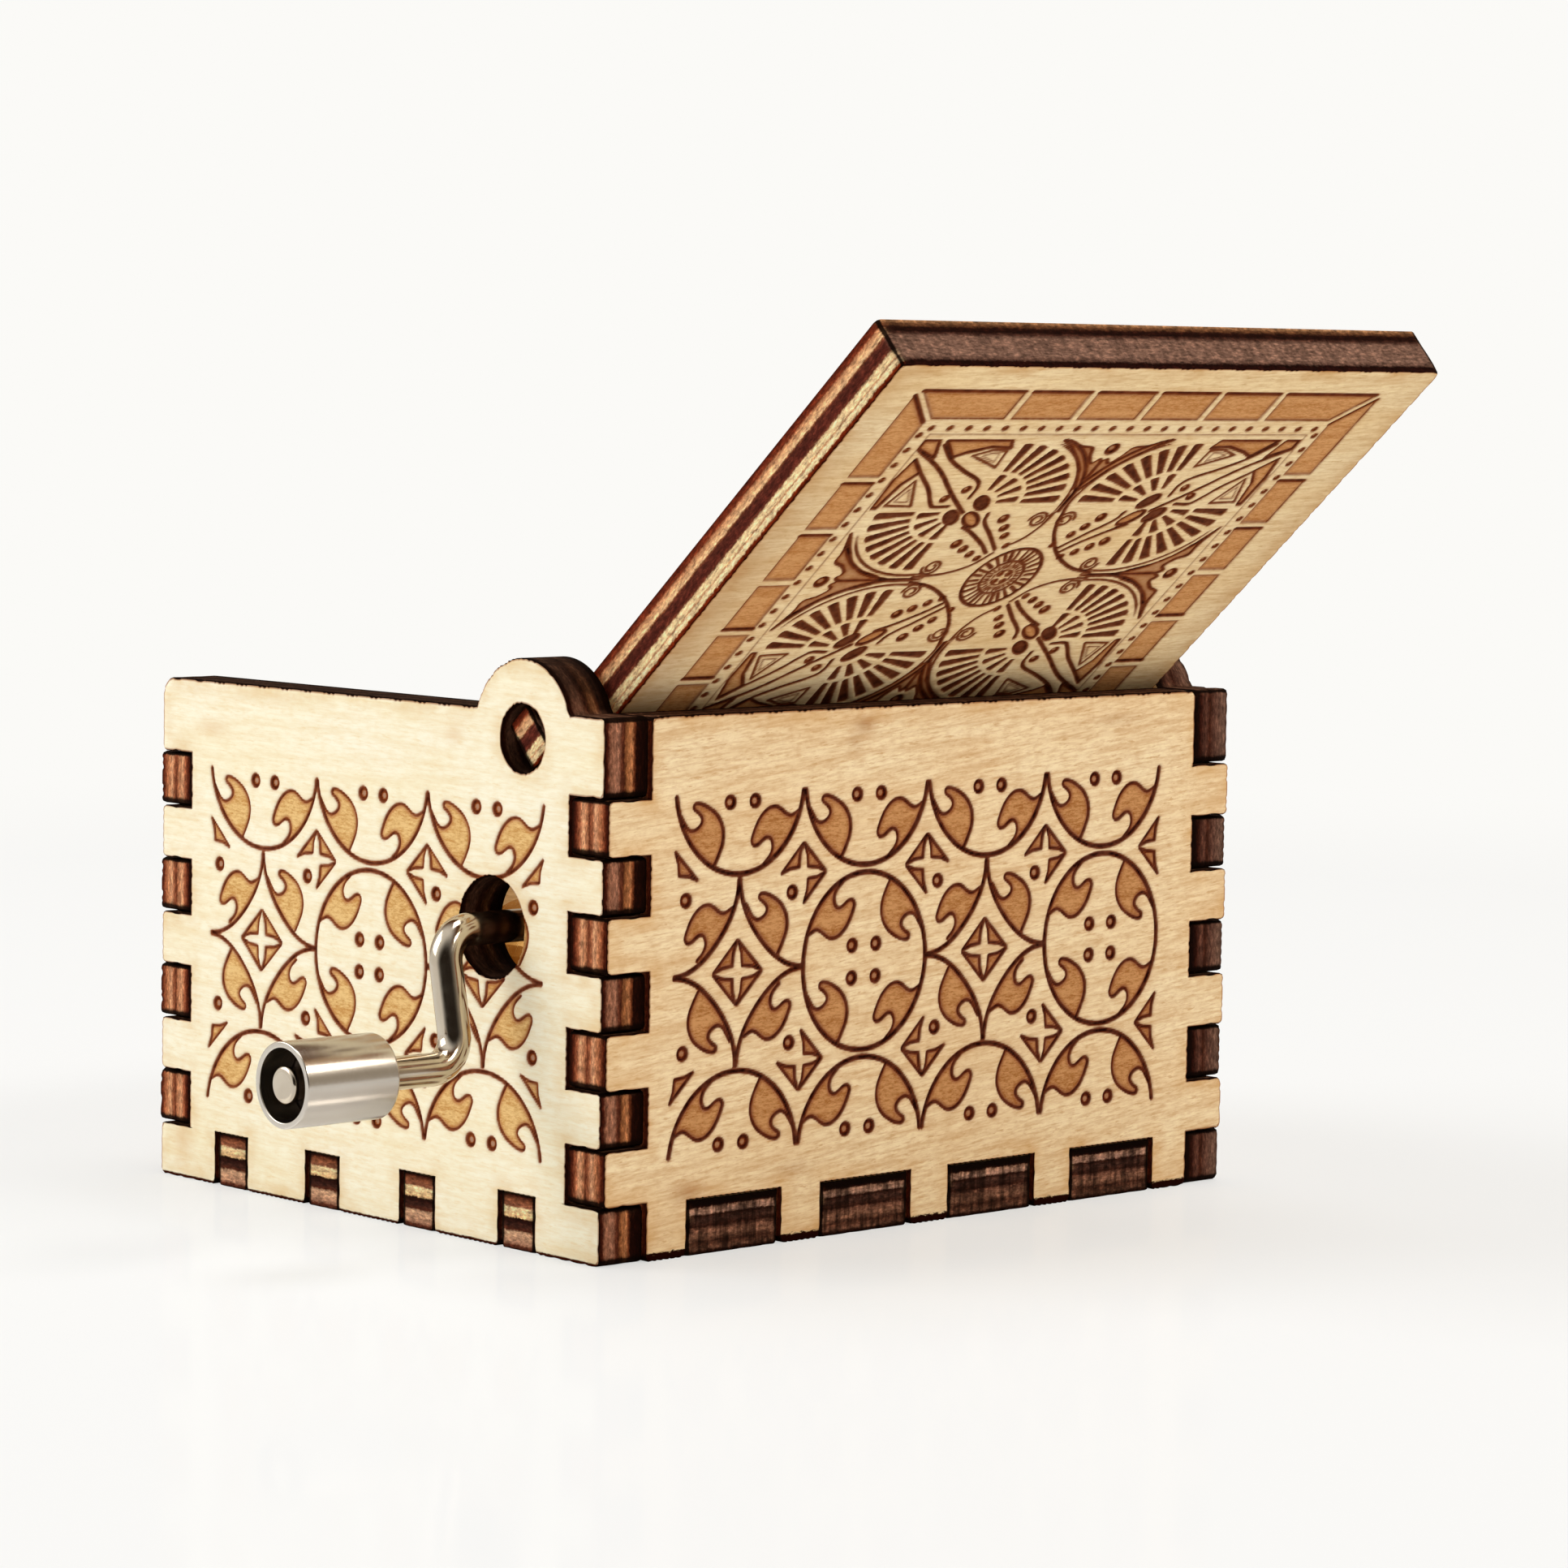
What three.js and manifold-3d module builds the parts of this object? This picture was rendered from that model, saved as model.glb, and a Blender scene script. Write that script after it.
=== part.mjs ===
// Hand crank music box: a laser-cut plywood case with a pegged lid, and a pinned-drum movement with a crank.
// Millimetres, +Z up. The origin is the middle of the underside, +X the crank side and +Y the hinge side.
// The lid stands open, leaning on the back panel, and the crank arm hangs a little off the vertical.
import * as THREE from "three";
import { mergeVertices } from "three/addons/utils/BufferGeometryUtils.js";
import Module from "manifold-3d";

// Case
const caseLength = 64; // over the two side panels
const caseWidth = 53.3; // over the front and back panels
const wallHeight = 38.8;
const plyThickness = 4;
const kerfGap = 0.05; // left by the laser on each side of a finger, tab or slot
const fingerPitch = 4.13;
const sideRecess = 0.3; // the side panels stop this far inside the front and back faces
const endRecess = 0.1; // fingers and tabs of the other panels stop this far inside the face they come through
const tabCount = 4;
const sideTabWidth = 3.95;
const sideTabMargin = 3.5; // inner corner to the first tab, on the side panels
const longTabWidth = 8.95;
const longTabMargin = 3.965; // the same on the front and back panels
const topCornerRadius = 1.4;

// Lid and hinge
const hingeSetback = 9.35; // hinge axis to the back face
const hingeHoleRadius = 2.45;
const earRadius = 5.45;
const earRise = 0.3; // the ear's centre above the hinge axis
const lidReach = 43.1; // hinge axis to the lid's free edge
const lidTail = 4.6; // hinge axis to the lid's hidden rear edge
const lidSideGap = 0.5;
const lidRestGap = 0.03; // left where the open lid leans on the back panel, and the closed one on the front
const pegWidth = 2.7;
const pegRecess = 0.6; // the pegs stop this far inside the side faces

// Crank
const crankAxisY = 14;
const crankAxisZ = 23;
const crankHoleRadius = 3.67;
const rodRadius = 1.2;
const bendRadius = 2.4; // at the middle of the rod
const armStandoff = 4.5; // panel face to the middle of the arm
const armLength = 9.7; // from axis to axis
const armTurn = THREE.MathUtils.degToRad(11.4); // at rest, from straight down towards the back
const rodReach = 20; // panel face to the rod's outer end
const peenRadius = 1.34; // the rod's spread end, which keeps the knob on
const peenLength = 0.6;
const shaftTail = 1.7; // the worm shaft beyond the bracket's outer face
const rodInset = 5.5; // how far the rod is screwed into the worm shaft
const knobRadius = 3.05;
const knobLength = 8;
const knobEdge = 0.25;
const knobRecessRadius = 2.68;
const knobRecessDepth = 3;
const knobProud = 0.05; // the knob's rim in front of the rod's end
const knobPlay = 0.07; // radial, on the rod

// Worm and wheel
const wheelTeeth = 28;
const toothModule = 0.42;
const wormPitchRadius = 1.9;
const addendum = 0.36;
const dedendum = 0.5;
const backlash = 0.12;
const toothSlope = Math.tan(THREE.MathUtils.degToRad(20));
const wheelWidth = 2;
const wormTurns = 5;
const coreSink = 0.1; // the worm's core below the foot of its thread
const journalRadius = 1.75;
const bearingPlay = 0.05; // radial, in every bearing
const endPlay = 0.1;
const collarRadius = 2.3;
const collarLength = 2;

// Drum and comb
const drumX = 9; // the drum's axis, towards the crank side
const drumRadius = 6.5;
const drumWall = 0.4;
const pinHeight = 0.45;
const pinRadius = 0.2;
const pinSteps = 36; // places round the drum that can hold a pin
const notes = 18;
const notePitch = 1;
const tineSlot = 0.25;
const tineThickness = 0.7;
const tineLift = 1; // comb's top face above the drum's axis
const tipGap = 0.11; // comb tips to the pins
const bassTine = 15.9;
const trebleTine = 9.4;
const combDepth = 24.9; // tips to the comb's back edge
const combThickness = 1.9;
const combShoulder = 1.1; // the comb's body beyond its outer tines
const rootLedge = 0.3; // the slots run past the thick body by this much
const weightCount = 6; // soldered under the lowest tines
const weightLength = 2.2;
const weightDrop = 1.5;
const weightSetback = 1.8;
const capThickness = 1;
const capGap = 0.04; // radial, between the drum and its end caps
const hubRadius = 2.2;
const arborRadius = 1;
const pressGap = 0.02; // radial, where a hub or shaft is driven on
const drumOverhang = 0.6; // the drum beyond its outer notes

// Bedplate and bracket
const bedThickness = 2;
const bedMargin = 1; // the bedplate beyond what stands on it
const uprightThickness = 1.5;
const uprightWidth = 8;
const uprightCrown = 3.2; // metal above the arbor's axis
const uprightGap = 1.6; // drum end to the upright on its far side
const bracketWall = 1.5;
const bracketSpan = 15.6; // between the bracket's walls
const bracketWidth = 6.8;
const bracketFoot = 1.2;
const bracketToUpright = 0.2;
const wheelToDrum = 3.4; // wheel face to the drum's end
const stepSetback = 1.1; // the comb's thick body overhangs its step
const bossRadius = 2.4;
const bossHeight = 3;
const bossInset = 3.2; // boss centre to the bedplate's edge

// Screws
const screwRadius = 1;
const screwHeadRadius = 1.9;
const screwHeadHeight = 1.1;
const screwDome = 0.35;
const screwSlot = 0.45;
const screwSlotDepth = 0.5;
const screwLength = 5;
const footScrewLength = 2.4;
const screwGap = 0.06; // radial, in a tapped hole
const combScrewSpread = 11;
const combScrewInset = 4.4; // from the comb's back edge
const fixingRadius = 1.25;
const fixingHeadRadius = 2.5;
const fixingHeadRim = 0.3;
const fixingCone = 1.3;
const fixingLength = 7.6;
const fixingSunk = 0.2; // head below the underside
const fixingSlotDepth = 0.6;

const roundSteps = 22; // half the facets of a large circle
const smallSides = 20;
const overrun = 1; // by which a cutter passes the face that it cuts
const weldDistance = 1e-4;

const outerX = caseLength / 2;
const outerY = caseWidth / 2;
const innerX = outerX - plyThickness;
const innerY = outerY - plyThickness;
const hingeY = outerY - hingeSetback;
const hingeZ = wallHeight - plyThickness / 2; // the closed lid lies flush with the side panels
const frontHeight = wallHeight - plyThickness - lidRestGap;
const bottomThickness = plyThickness;
const fingerRows = Math.floor(wallHeight / fingerPitch); // the last one runs on to the top edge
const sideTabPitch = (2 * (innerY - sideTabMargin) - sideTabWidth) / (tabCount - 1);
const longTabPitch = (2 * (innerX - longTabMargin) - longTabWidth) / (tabCount - 1);

// The lid opens until its upper face meets the inner top edge of the back panel.
const edgeRun = innerY - hingeY;
const edgeRise = wallHeight - hingeZ;
const lidOpening =
  Math.PI -
  Math.asin((plyThickness / 2 + lidRestGap) / Math.hypot(edgeRun, edgeRise)) -
  Math.atan2(edgeRise, edgeRun);

const wheelPitchRadius = (wheelTeeth * toothModule) / 2;
const axialPitch = Math.PI * toothModule;
const toothWidth = (axialPitch - backlash) / 2; // at the pitch line
const leadSlope = axialPitch / (2 * Math.PI * wormPitchRadius);
const drumZ = crankAxisZ - wormPitchRadius - wheelPitchRadius;
const wheelY = crankAxisY;
const drumEnd = (notes * notePitch) / 2 + drumOverhang;
const drumShift = wheelY - wheelWidth / 2 - wheelToDrum - drumEnd; // the drum's middle, along Y
const bracketLow = wheelY - bracketWidth / 2;
const bracketHigh = wheelY + bracketWidth / 2;
const farUprightY = drumShift - drumEnd - uprightGap - uprightThickness;
const nearUprightY = bracketHigh + bracketToUpright;
const tipX = drumX - drumRadius - pinHeight - tipGap;
const combBackX = tipX - combDepth;
const combTopZ = drumZ + tineLift;
const combSeatZ = combTopZ - combThickness;
const bedTopZ = bottomThickness + bedThickness;
const bedLowX = combBackX;
const bedHighX = drumX + bracketSpan / 2 + bracketWall + bedMargin;
const bedLowY = farUprightY - bedMargin;
const bedHighY = nearUprightY + uprightThickness + bedMargin;

const plywood = new THREE.MeshStandardMaterial({ color: 0xe6cb98, roughness: 0.78, metalness: 0 });
const palePlywood = new THREE.MeshStandardMaterial({ color: 0xf4e2b8, roughness: 0.78, metalness: 0 });
const polishedSteel = new THREE.MeshStandardMaterial({ color: 0xc9c6c0, roughness: 0.16, metalness: 1 });
const satinAluminium = new THREE.MeshStandardMaterial({ color: 0xcfcdc9, roughness: 0.34, metalness: 1 });
const castZinc = new THREE.MeshStandardMaterial({ color: 0xb9b8b4, roughness: 0.45, metalness: 1 });
const springSteel = new THREE.MeshStandardMaterial({ color: 0xbcbdc0, roughness: 0.28, metalness: 1 });
const brass = new THREE.MeshStandardMaterial({ color: 0xc9a352, roughness: 0.3, metalness: 1 });

const wasm = await Module();
wasm.setup();

// A closed geometry as a solid: shared vertices merged, and the slivers that merging leaves dropped.
function solid(geometry) {
  const bare = geometry.clone();
  bare.deleteAttribute("normal");
  bare.deleteAttribute("uv");
  const merged = mergeVertices(bare, weldDistance);
  const corners = merged.index.array;
  const kept = [];
  for (let i = 0; i < corners.length; i += 3) {
    const [a, b, c] = [corners[i], corners[i + 1], corners[i + 2]];
    if (a !== b && b !== c && c !== a) kept.push(a, b, c);
  }
  return new wasm.Manifold(
    new wasm.Mesh({
      numProp: 3,
      vertProperties: Float32Array.from(merged.attributes.position.array),
      triVerts: Uint32Array.from(kept),
    }),
  );
}

function piece(name, body, material) {
  const { vertProperties, triVerts } = body.getMesh();
  const geometry = new THREE.BufferGeometry();
  geometry.setAttribute("position", new THREE.BufferAttribute(vertProperties, 3));
  geometry.setIndex(new THREE.BufferAttribute(triVerts, 1));
  geometry.computeVertexNormals();
  const mesh = new THREE.Mesh(geometry, material);
  mesh.name = name;
  return mesh;
}

const union = (...bodies) => bodies.reduce((whole, body) => whole.add(body));

function outline(points) {
  return new THREE.Shape(points.map(([x, y]) => new THREE.Vector2(x, y)));
}

function roundHole(x, y, radius) {
  return new THREE.Path().absarc(x, y, radius, 0, 2 * Math.PI, true);
}

// A flat plate: the shape extruded upwards from z = low.
function plate(shape, low, thickness) {
  const options = { depth: thickness, bevelEnabled: false, curveSegments: roundSteps };
  return new THREE.ExtrudeGeometry(shape, options).translate(0, 0, low);
}

function block(x0, x1, y0, y1, z0, z1) {
  const box = new THREE.BoxGeometry(x1 - x0, y1 - y0, z1 - z0);
  return solid(box.translate((x0 + x1) / 2, (y0 + y1) / 2, (z0 + z1) / 2));
}

// A turned solid about the Y axis. Its [radius, y] pairs start and end on the axis, or close on themselves.
function turned(profile, sides) {
  const points = profile.map(([radius, y]) => new THREE.Vector2(radius, y));
  return new THREE.LatheGeometry(points, sides);
}

const turnedUp = (profile, sides) => turned(profile, sides).rotateX(Math.PI / 2);

function rodUp(x, y, low, high, radius) {
  const profile = [[0, low], [radius, low], [radius, high], [0, high]];
  return solid(turnedUp(profile, smallSides).translate(x, y, 0));
}

// A skin over rings of points, closed by a fan at each end. A ring runs anticlockwise seen from the far end,
// and each square is cut from its next point to the following ring's own, which suits a climbing thread.
function loft(rings) {
  const count = rings[0].length;
  const middle = (ring) => ring.reduce((sum, p) => sum.add(p), new THREE.Vector3()).divideScalar(count);
  const points = [...rings.flat(), middle(rings[0]), middle(rings[rings.length - 1])];
  const start = rings.length * count;
  const index = [];
  for (let i = 0; i < count; i++) {
    const next = (i + 1) % count;
    for (let ring = 0; ring + 1 < rings.length; ring++) {
      const low = ring * count;
      const high = low + count;
      index.push(low + i, low + next, high + i, low + next, high + next, high + i);
    }
    index.push(start, next, i, start + 1, start - count + i, start - count + next);
  }
  return new THREE.BufferGeometry().setFromPoints(points).setIndex(index);
}

// Stands a sheet that is drawn flat: its x, y and thickness run along the given axes.
function stand(mesh, xAxis, yAxis, thicknessAxis, position) {
  mesh.quaternion.setFromRotationMatrix(new THREE.Matrix4().makeBasis(xAxis, yAxis, thicknessAxis));
  mesh.position.copy(position);
  return mesh;
}

const alongX = new THREE.Vector3(1, 0, 0);
const alongY = new THREE.Vector3(0, 1, 0);
const alongZ = new THREE.Vector3(0, 0, 1);
const againstY = new THREE.Vector3(0, -1, 0);

// Case panels

// One upright edge of a panel, from the underside to its top, with fingers on every other row.
function fingerEdge(tip, root, fingersFirst, top) {
  const rows = Math.min(fingerRows, Math.ceil((top - kerfGap) / fingerPitch));
  const points = [];
  for (let row = 0; row < rows; row++) {
    const finger = (row % 2 === 0) === fingersFirst;
    const gap = finger ? kerfGap : -kerfGap;
    const low = row === 0 ? 0 : row * fingerPitch + gap;
    const high = row === rows - 1 ? top : (row + 1) * fingerPitch - gap;
    points.push([finger ? tip : root, low], [finger ? tip : root, high]);
  }
  return points;
}

// The lower edge of a panel, left to right, with a slot for each tab of the bottom.
function slottedEdge(tabWidth, tabPitch) {
  const points = [];
  for (let tab = 0; tab < tabCount; tab++) {
    const middle = (tab - (tabCount - 1) / 2) * tabPitch;
    const low = middle - tabWidth / 2 - kerfGap;
    const high = middle + tabWidth / 2 + kerfGap;
    const top = bottomThickness + kerfGap;
    points.push([low, 0], [low, top], [high, top], [high, 0]);
  }
  return points;
}

const mirrored = (points) => points.map(([x, y]) => [-x, y]).reverse();

function sidePanel(withCrankHole) {
  const tip = outerY - sideRecess;
  const edge = fingerEdge(tip, innerY - kerfGap, true, wallHeight);
  const shape = outline([[-tip, 0], ...slottedEdge(sideTabWidth, sideTabPitch), ...edge]);
  const earZ = hingeZ + earRise;
  const foot = Math.asin((wallHeight - earZ) / earRadius);
  shape.absarc(hingeY, earZ, earRadius, foot, Math.PI - foot, false);
  const cornerY = topCornerRadius - tip;
  shape.absarc(cornerY, wallHeight - topCornerRadius, topCornerRadius, Math.PI / 2, Math.PI, false);
  mirrored(edge).slice(1, -1).forEach(([y, z]) => shape.lineTo(y, z));
  shape.holes.push(roundHole(hingeY, hingeZ, hingeHoleRadius));
  if (withCrankHole) shape.holes.push(roundHole(crankAxisY, crankAxisZ, crankHoleRadius));
  return solid(plate(shape, 0, plyThickness));
}

function longPanel(height) {
  const edge = fingerEdge(outerX - endRecess, innerX - kerfGap, false, height);
  const slots = slottedEdge(longTabWidth, longTabPitch);
  return solid(plate(outline([...slots, ...edge, ...mirrored(edge)]), 0, plyThickness));
}

function tabbedEdge(tabWidth, tabPitch, root, tip) {
  return Array.from({ length: tabCount }, (_, tab) => {
    const middle = (tab - (tabCount - 1) / 2) * tabPitch;
    const low = middle - tabWidth / 2;
    const high = middle + tabWidth / 2;
    return [[low, root], [low, tip], [high, tip], [high, root]];
  }).flat();
}

// Where the movement is screwed down: into the comb's step, and into a boss at the other end of the bedplate.
const fixingPlaces = [
  [combBackX + combScrewInset, drumShift],
  [bedHighX - bossInset, bedLowY + bossInset],
];

function bottomPanel() {
  const rootX = innerX - kerfGap;
  const rootY = innerY - kerfGap;
  const long = tabbedEdge(longTabWidth, longTabPitch, -rootY, endRecess - outerY);
  const side = tabbedEdge(sideTabWidth, sideTabPitch, rootX, outerX - endRecess).map(([y, x]) => [x, y]);
  const half = [[-rootX, -rootY], ...long, [rootX, -rootY], ...side];
  const shape = outline([...half, ...half.map(([x, y]) => [-x, -y])]);
  const sheet = solid(plate(shape, 0, bottomThickness));
  return fixingPlaces.reduce((body, [x, y]) => {
    const bore = fixingRadius + kerfGap + screwGap;
    const mouth = fixingHeadRadius + kerfGap + screwGap;
    const rim = fixingSunk + fixingHeadRim;
    const profile = [
      [0, -overrun],
      [mouth, -overrun],
      [mouth, rim],
      [bore, rim + fixingCone],
      [bore, bottomThickness + overrun],
      [0, bottomThickness + overrun],
    ];
    return body.subtract(solid(turnedUp(profile, smallSides).translate(x, y, 0)));
  }, sheet);
}

function makeCase() {
  const box = new THREE.Group();
  const crankSide = piece("crank_side_panel", sidePanel(true), palePlywood);
  const farSide = piece("far_side_panel", sidePanel(false), plywood);
  const back = piece("back_panel", longPanel(wallHeight), plywood);
  const front = piece("front_panel", longPanel(frontHeight), plywood);
  box.add(
    stand(crankSide, alongY, alongZ, alongX, new THREE.Vector3(innerX, 0, 0)),
    stand(farSide, alongY, alongZ, alongX, new THREE.Vector3(-outerX, 0, 0)),
    stand(back, alongX, alongZ, againstY, new THREE.Vector3(0, outerY, 0)),
    stand(front, alongX, alongZ, againstY, new THREE.Vector3(0, -innerY, 0)),
    piece("bottom_panel", bottomPanel(), plywood),
  );
  return box;
}

// Lid, drawn closed: its free edge lies towards -Y and its pegs on the hinge axis. Its group turns it open.
function makeLid() {
  const side = innerX - lidSideGap;
  const peg = outerX - pegRecess;
  const half = [
    [side, -lidReach],
    [side, -pegWidth / 2],
    [peg, -pegWidth / 2],
    [peg, pegWidth / 2],
    [side, pegWidth / 2],
    [side, lidTail],
  ];
  const lid = new THREE.Group();
  lid.position.set(0, hingeY, hingeZ);
  lid.rotation.x = -lidOpening;
  const sheet = plate(outline([...half, ...mirrored(half)]), -plyThickness / 2, plyThickness);
  lid.add(piece("lid", solid(sheet), plywood));
  return lid;
}

// Crank

// The rod runs in along X, turns down the arm and out again, in the plane y = 0 of the crank's group.
function crankRod() {
  const armX = outerX + armStandoff;
  const end = outerX + rodReach;
  const start = drumX + bracketSpan / 2 + bracketWall + shaftTail - rodInset;
  const bendSteps = 6;
  const stations = [{ x: start, z: 0, turn: 0, radius: rodRadius }];
  for (let step = 0; step <= bendSteps; step++) {
    const turn = (Math.PI / 2) * (step / bendSteps);
    const x = armX - bendRadius * (1 - Math.sin(turn));
    const z = -bendRadius * (1 - Math.cos(turn));
    stations.push({ x, z, turn, radius: rodRadius });
  }
  for (let step = bendSteps; step >= 0; step--) {
    const turn = (Math.PI / 2) * (step / bendSteps);
    const x = armX + bendRadius * (1 - Math.sin(turn));
    const z = bendRadius * (1 - Math.cos(turn)) - armLength;
    stations.push({ x, z, turn, radius: rodRadius });
  }
  stations.push({ x: end - peenLength, z: -armLength, turn: 0, radius: rodRadius });
  stations.push({ x: end - peenLength / 2, z: -armLength, turn: 0, radius: peenRadius });
  stations.push({ x: end, z: -armLength, turn: 0, radius: peenRadius });
  const rings = stations.map(({ x, z, turn, radius }) =>
    Array.from({ length: smallSides }, (_, side) => {
      const angle = (2 * Math.PI * side) / smallSides;
      const out = radius * Math.sin(angle);
      return new THREE.Vector3(x + out * Math.sin(turn), radius * Math.cos(angle), z + out * Math.cos(turn));
    }),
  );
  return solid(loft(rings));
}

// The thread of a single-start worm is one cross-section, turned once for each pitch along the shaft.
function wormThread() {
  const sectionPoints = 16;
  const layersPerTurn = 12;
  const crest = toothWidth / 2 - addendum * toothSlope;
  const foot = toothWidth / 2 + dedendum * toothSlope;
  const radiusAt = (share) => {
    const along = Math.abs(share - Math.round(share)) * axialPitch;
    const fall = THREE.MathUtils.clamp((along - crest) / (foot - crest), 0, 1);
    return wormPitchRadius + addendum - fall * (addendum + dedendum);
  };
  const layers = wormTurns * layersPerTurn;
  return loft(
    Array.from({ length: layers + 1 }, (_, layer) => {
      const turns = layer / layersPerTurn - wormTurns / 2;
      return Array.from({ length: sectionPoints }, (_, point) => {
        const radius = radiusAt(point / sectionPoints);
        const angle = 2 * Math.PI * (turns + point / sectionPoints) - armTurn;
        return new THREE.Vector3(turns * axialPitch, radius * Math.sin(angle), -radius * Math.cos(angle));
      });
    }),
  );
}

function wormShaft() {
  const wall = bracketSpan / 2;
  const threadHalf = (wormTurns * axialPitch) / 2;
  const core = wormPitchRadius - dedendum - coreSink;
  const shaft = [
    [0, -wall - bracketWall],
    [journalRadius, -wall - bracketWall],
    [journalRadius, endPlay - wall],
    [collarRadius, endPlay - wall],
    [collarRadius, endPlay - wall + collarLength],
    [journalRadius, endPlay - wall + collarLength],
    [journalRadius, -threadHalf],
    [core, -threadHalf],
    [core, threadHalf],
    [journalRadius, threadHalf],
    [journalRadius, wall - endPlay - collarLength],
    [collarRadius, wall - endPlay - collarLength],
    [collarRadius, wall - endPlay],
    [journalRadius, wall - endPlay],
    [journalRadius, wall + bracketWall + shaftTail],
    [0, wall + bracketWall + shaftTail],
  ];
  const boreRadius = rodRadius + pressGap;
  const boreEnd = wall + bracketWall + shaftTail;
  const bore = [
    [0, boreEnd - rodInset - overrun / 2],
    [boreRadius, boreEnd - rodInset - overrun / 2],
    [boreRadius, boreEnd + overrun],
    [0, boreEnd + overrun],
  ];
  const lengthwise = (profile) => solid(turned(profile, smallSides).rotateZ(-Math.PI / 2));
  return union(lengthwise(shaft), solid(wormThread())).subtract(lengthwise(bore)).translate([drumX, 0, 0]);
}

function knobSleeve() {
  const rim = outerX + rodReach + knobProud;
  const rear = rim - knobLength;
  const floor = rim - knobRecessDepth;
  const bore = rodRadius + knobPlay;
  const profile = [
    [bore, rear],
    [knobRadius - knobEdge, rear],
    [knobRadius, rear + knobEdge],
    [knobRadius, rim - knobEdge / 2],
    [knobRadius - knobEdge / 2, rim],
    [knobRecessRadius, rim],
    [knobRecessRadius, floor],
    [bore, floor],
    [bore, rear],
  ];
  return solid(turned(profile, 2 * roundSteps).rotateZ(-Math.PI / 2).translate(0, 0, -armLength));
}

function makeCrank() {
  const crank = new THREE.Group();
  crank.position.set(0, crankAxisY, crankAxisZ);
  crank.rotation.x = armTurn;
  crank.add(
    piece("crank_rod", crankRod(), polishedSteel),
    piece("worm_shaft", wormShaft(), polishedSteel),
    piece("knob_sleeve", knobSleeve(), satinAluminium),
  );
  return crank;
}

// Drum: everything here turns about the Y axis of the drum's group.

// One pin for each step round the drum, climbing and falling like an arpeggio, and a second on each beat.
function pinPlaces() {
  const leap = 5; // notes between one pin and the next
  const beat = 3;
  const places = [];
  for (let step = 0; step < pinSteps; step++) {
    const swing = Math.abs(((step * leap) % (2 * notes)) - notes);
    places.push([step, Math.min(swing, notes - 1)]);
    if (step % beat === 0) places.push([step, (swing + notes / 2) % notes]);
  }
  return places;
}

function drum() {
  const bore = drumRadius - drumWall;
  const low = drumShift - drumEnd;
  const high = drumShift + drumEnd;
  const profile = [[bore, low], [drumRadius, low], [drumRadius, high], [bore, high], [bore, low]];
  const tube = solid(turned(profile, 2 * roundSteps));
  const pinSides = 5;
  const length = pinHeight + drumWall / 2;
  const pins = pinPlaces().map(([step, note]) => {
    const pin = new THREE.CylinderGeometry(pinRadius / 2, pinRadius, length, pinSides);
    pin.translate(0, drumRadius + pinHeight - length / 2, 0).rotateX(Math.PI / 2);
    pin.rotateY((2 * Math.PI * (step + 1 / 2)) / pinSteps);
    return solid(pin.translate(0, drumShift + (note - (notes - 1) / 2) * notePitch, 0));
  });
  return union(tube, ...pins);
}

// The outline of the wheel's teeth in the XZ plane, with a gap between teeth at the top.
function wheelRing(y) {
  const leadTurn = ((y - wheelY) * leadSlope) / wheelPitchRadius;
  const ring = [];
  for (let tooth = 0; tooth < wheelTeeth; tooth++) {
    const middle = (2 * Math.PI * (tooth + 1 / 2)) / wheelTeeth + leadTurn;
    const corner = (rise, side) => {
      const radius = wheelPitchRadius + rise;
      const half = (toothWidth / 2 - rise * toothSlope) / radius;
      const angle = middle + side * half;
      ring.push(new THREE.Vector3(radius * Math.sin(angle), y, radius * Math.cos(angle)));
    };
    corner(-dedendum, -1);
    corner(addendum, -1);
    corner(addendum, 1);
    corner(-dedendum, 1);
  }
  return ring;
}

function drumWheel() {
  const low = wheelY - wheelWidth / 2;
  const teeth = solid(loft([wheelRing(low), wheelRing(wheelY), wheelRing(low + wheelWidth)]));
  const capLow = drumShift + drumEnd - capThickness;
  const capRadius = drumRadius - drumWall - capGap;
  const bore = arborRadius + pressGap;
  const hub = [
    [bore, capLow],
    [capRadius, capLow],
    [capRadius, capLow + capThickness],
    [hubRadius, capLow + capThickness],
    [hubRadius, nearUprightY - endPlay],
    [bore, nearUprightY - endPlay],
    [bore, capLow],
  ];
  const cutter = [[0, capLow - overrun], [bore, capLow - overrun], [bore, bedHighY], [0, bedHighY]];
  return union(teeth, solid(turned(hub, 2 * roundSteps))).subtract(solid(turned(cutter, 2 * roundSteps)));
}

function drumCap() {
  const low = drumShift - drumEnd;
  const bore = arborRadius + pressGap;
  const capRadius = drumRadius - drumWall - capGap;
  const hubLow = farUprightY + uprightThickness + endPlay;
  const profile = [
    [bore, hubLow],
    [hubRadius, hubLow],
    [hubRadius, low],
    [capRadius, low],
    [capRadius, low + capThickness],
    [bore, low + capThickness],
    [bore, hubLow],
  ];
  return solid(turned(profile, 2 * roundSteps));
}

function arbor() {
  const low = farUprightY - bedMargin / 2;
  const high = nearUprightY + uprightThickness + bedMargin / 2;
  return solid(turned([[0, low], [arborRadius, low], [arborRadius, high], [0, high]], smallSides));
}

function makeDrum() {
  const group = new THREE.Group();
  group.position.set(drumX, 0, drumZ);
  group.add(
    piece("drum", drum(), brass),
    piece("drum_wheel", drumWheel(), brass),
    piece("drum_cap", drumCap(), brass),
    piece("drum_arbor", arbor(), polishedSteel),
  );
  return group;
}

// Movement parts that stay still

const combScrewPlaces = [-1, 1].map((side) => [
  combBackX + combScrewInset,
  drumShift + (side * combScrewSpread) / 2,
]);
const footScrewPlaces = [-1, 1].map((side) => [
  drumX + side * (bracketSpan / 2 - screwHeadRadius - bearingPlay - endPlay),
  wheelY,
]);

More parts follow.
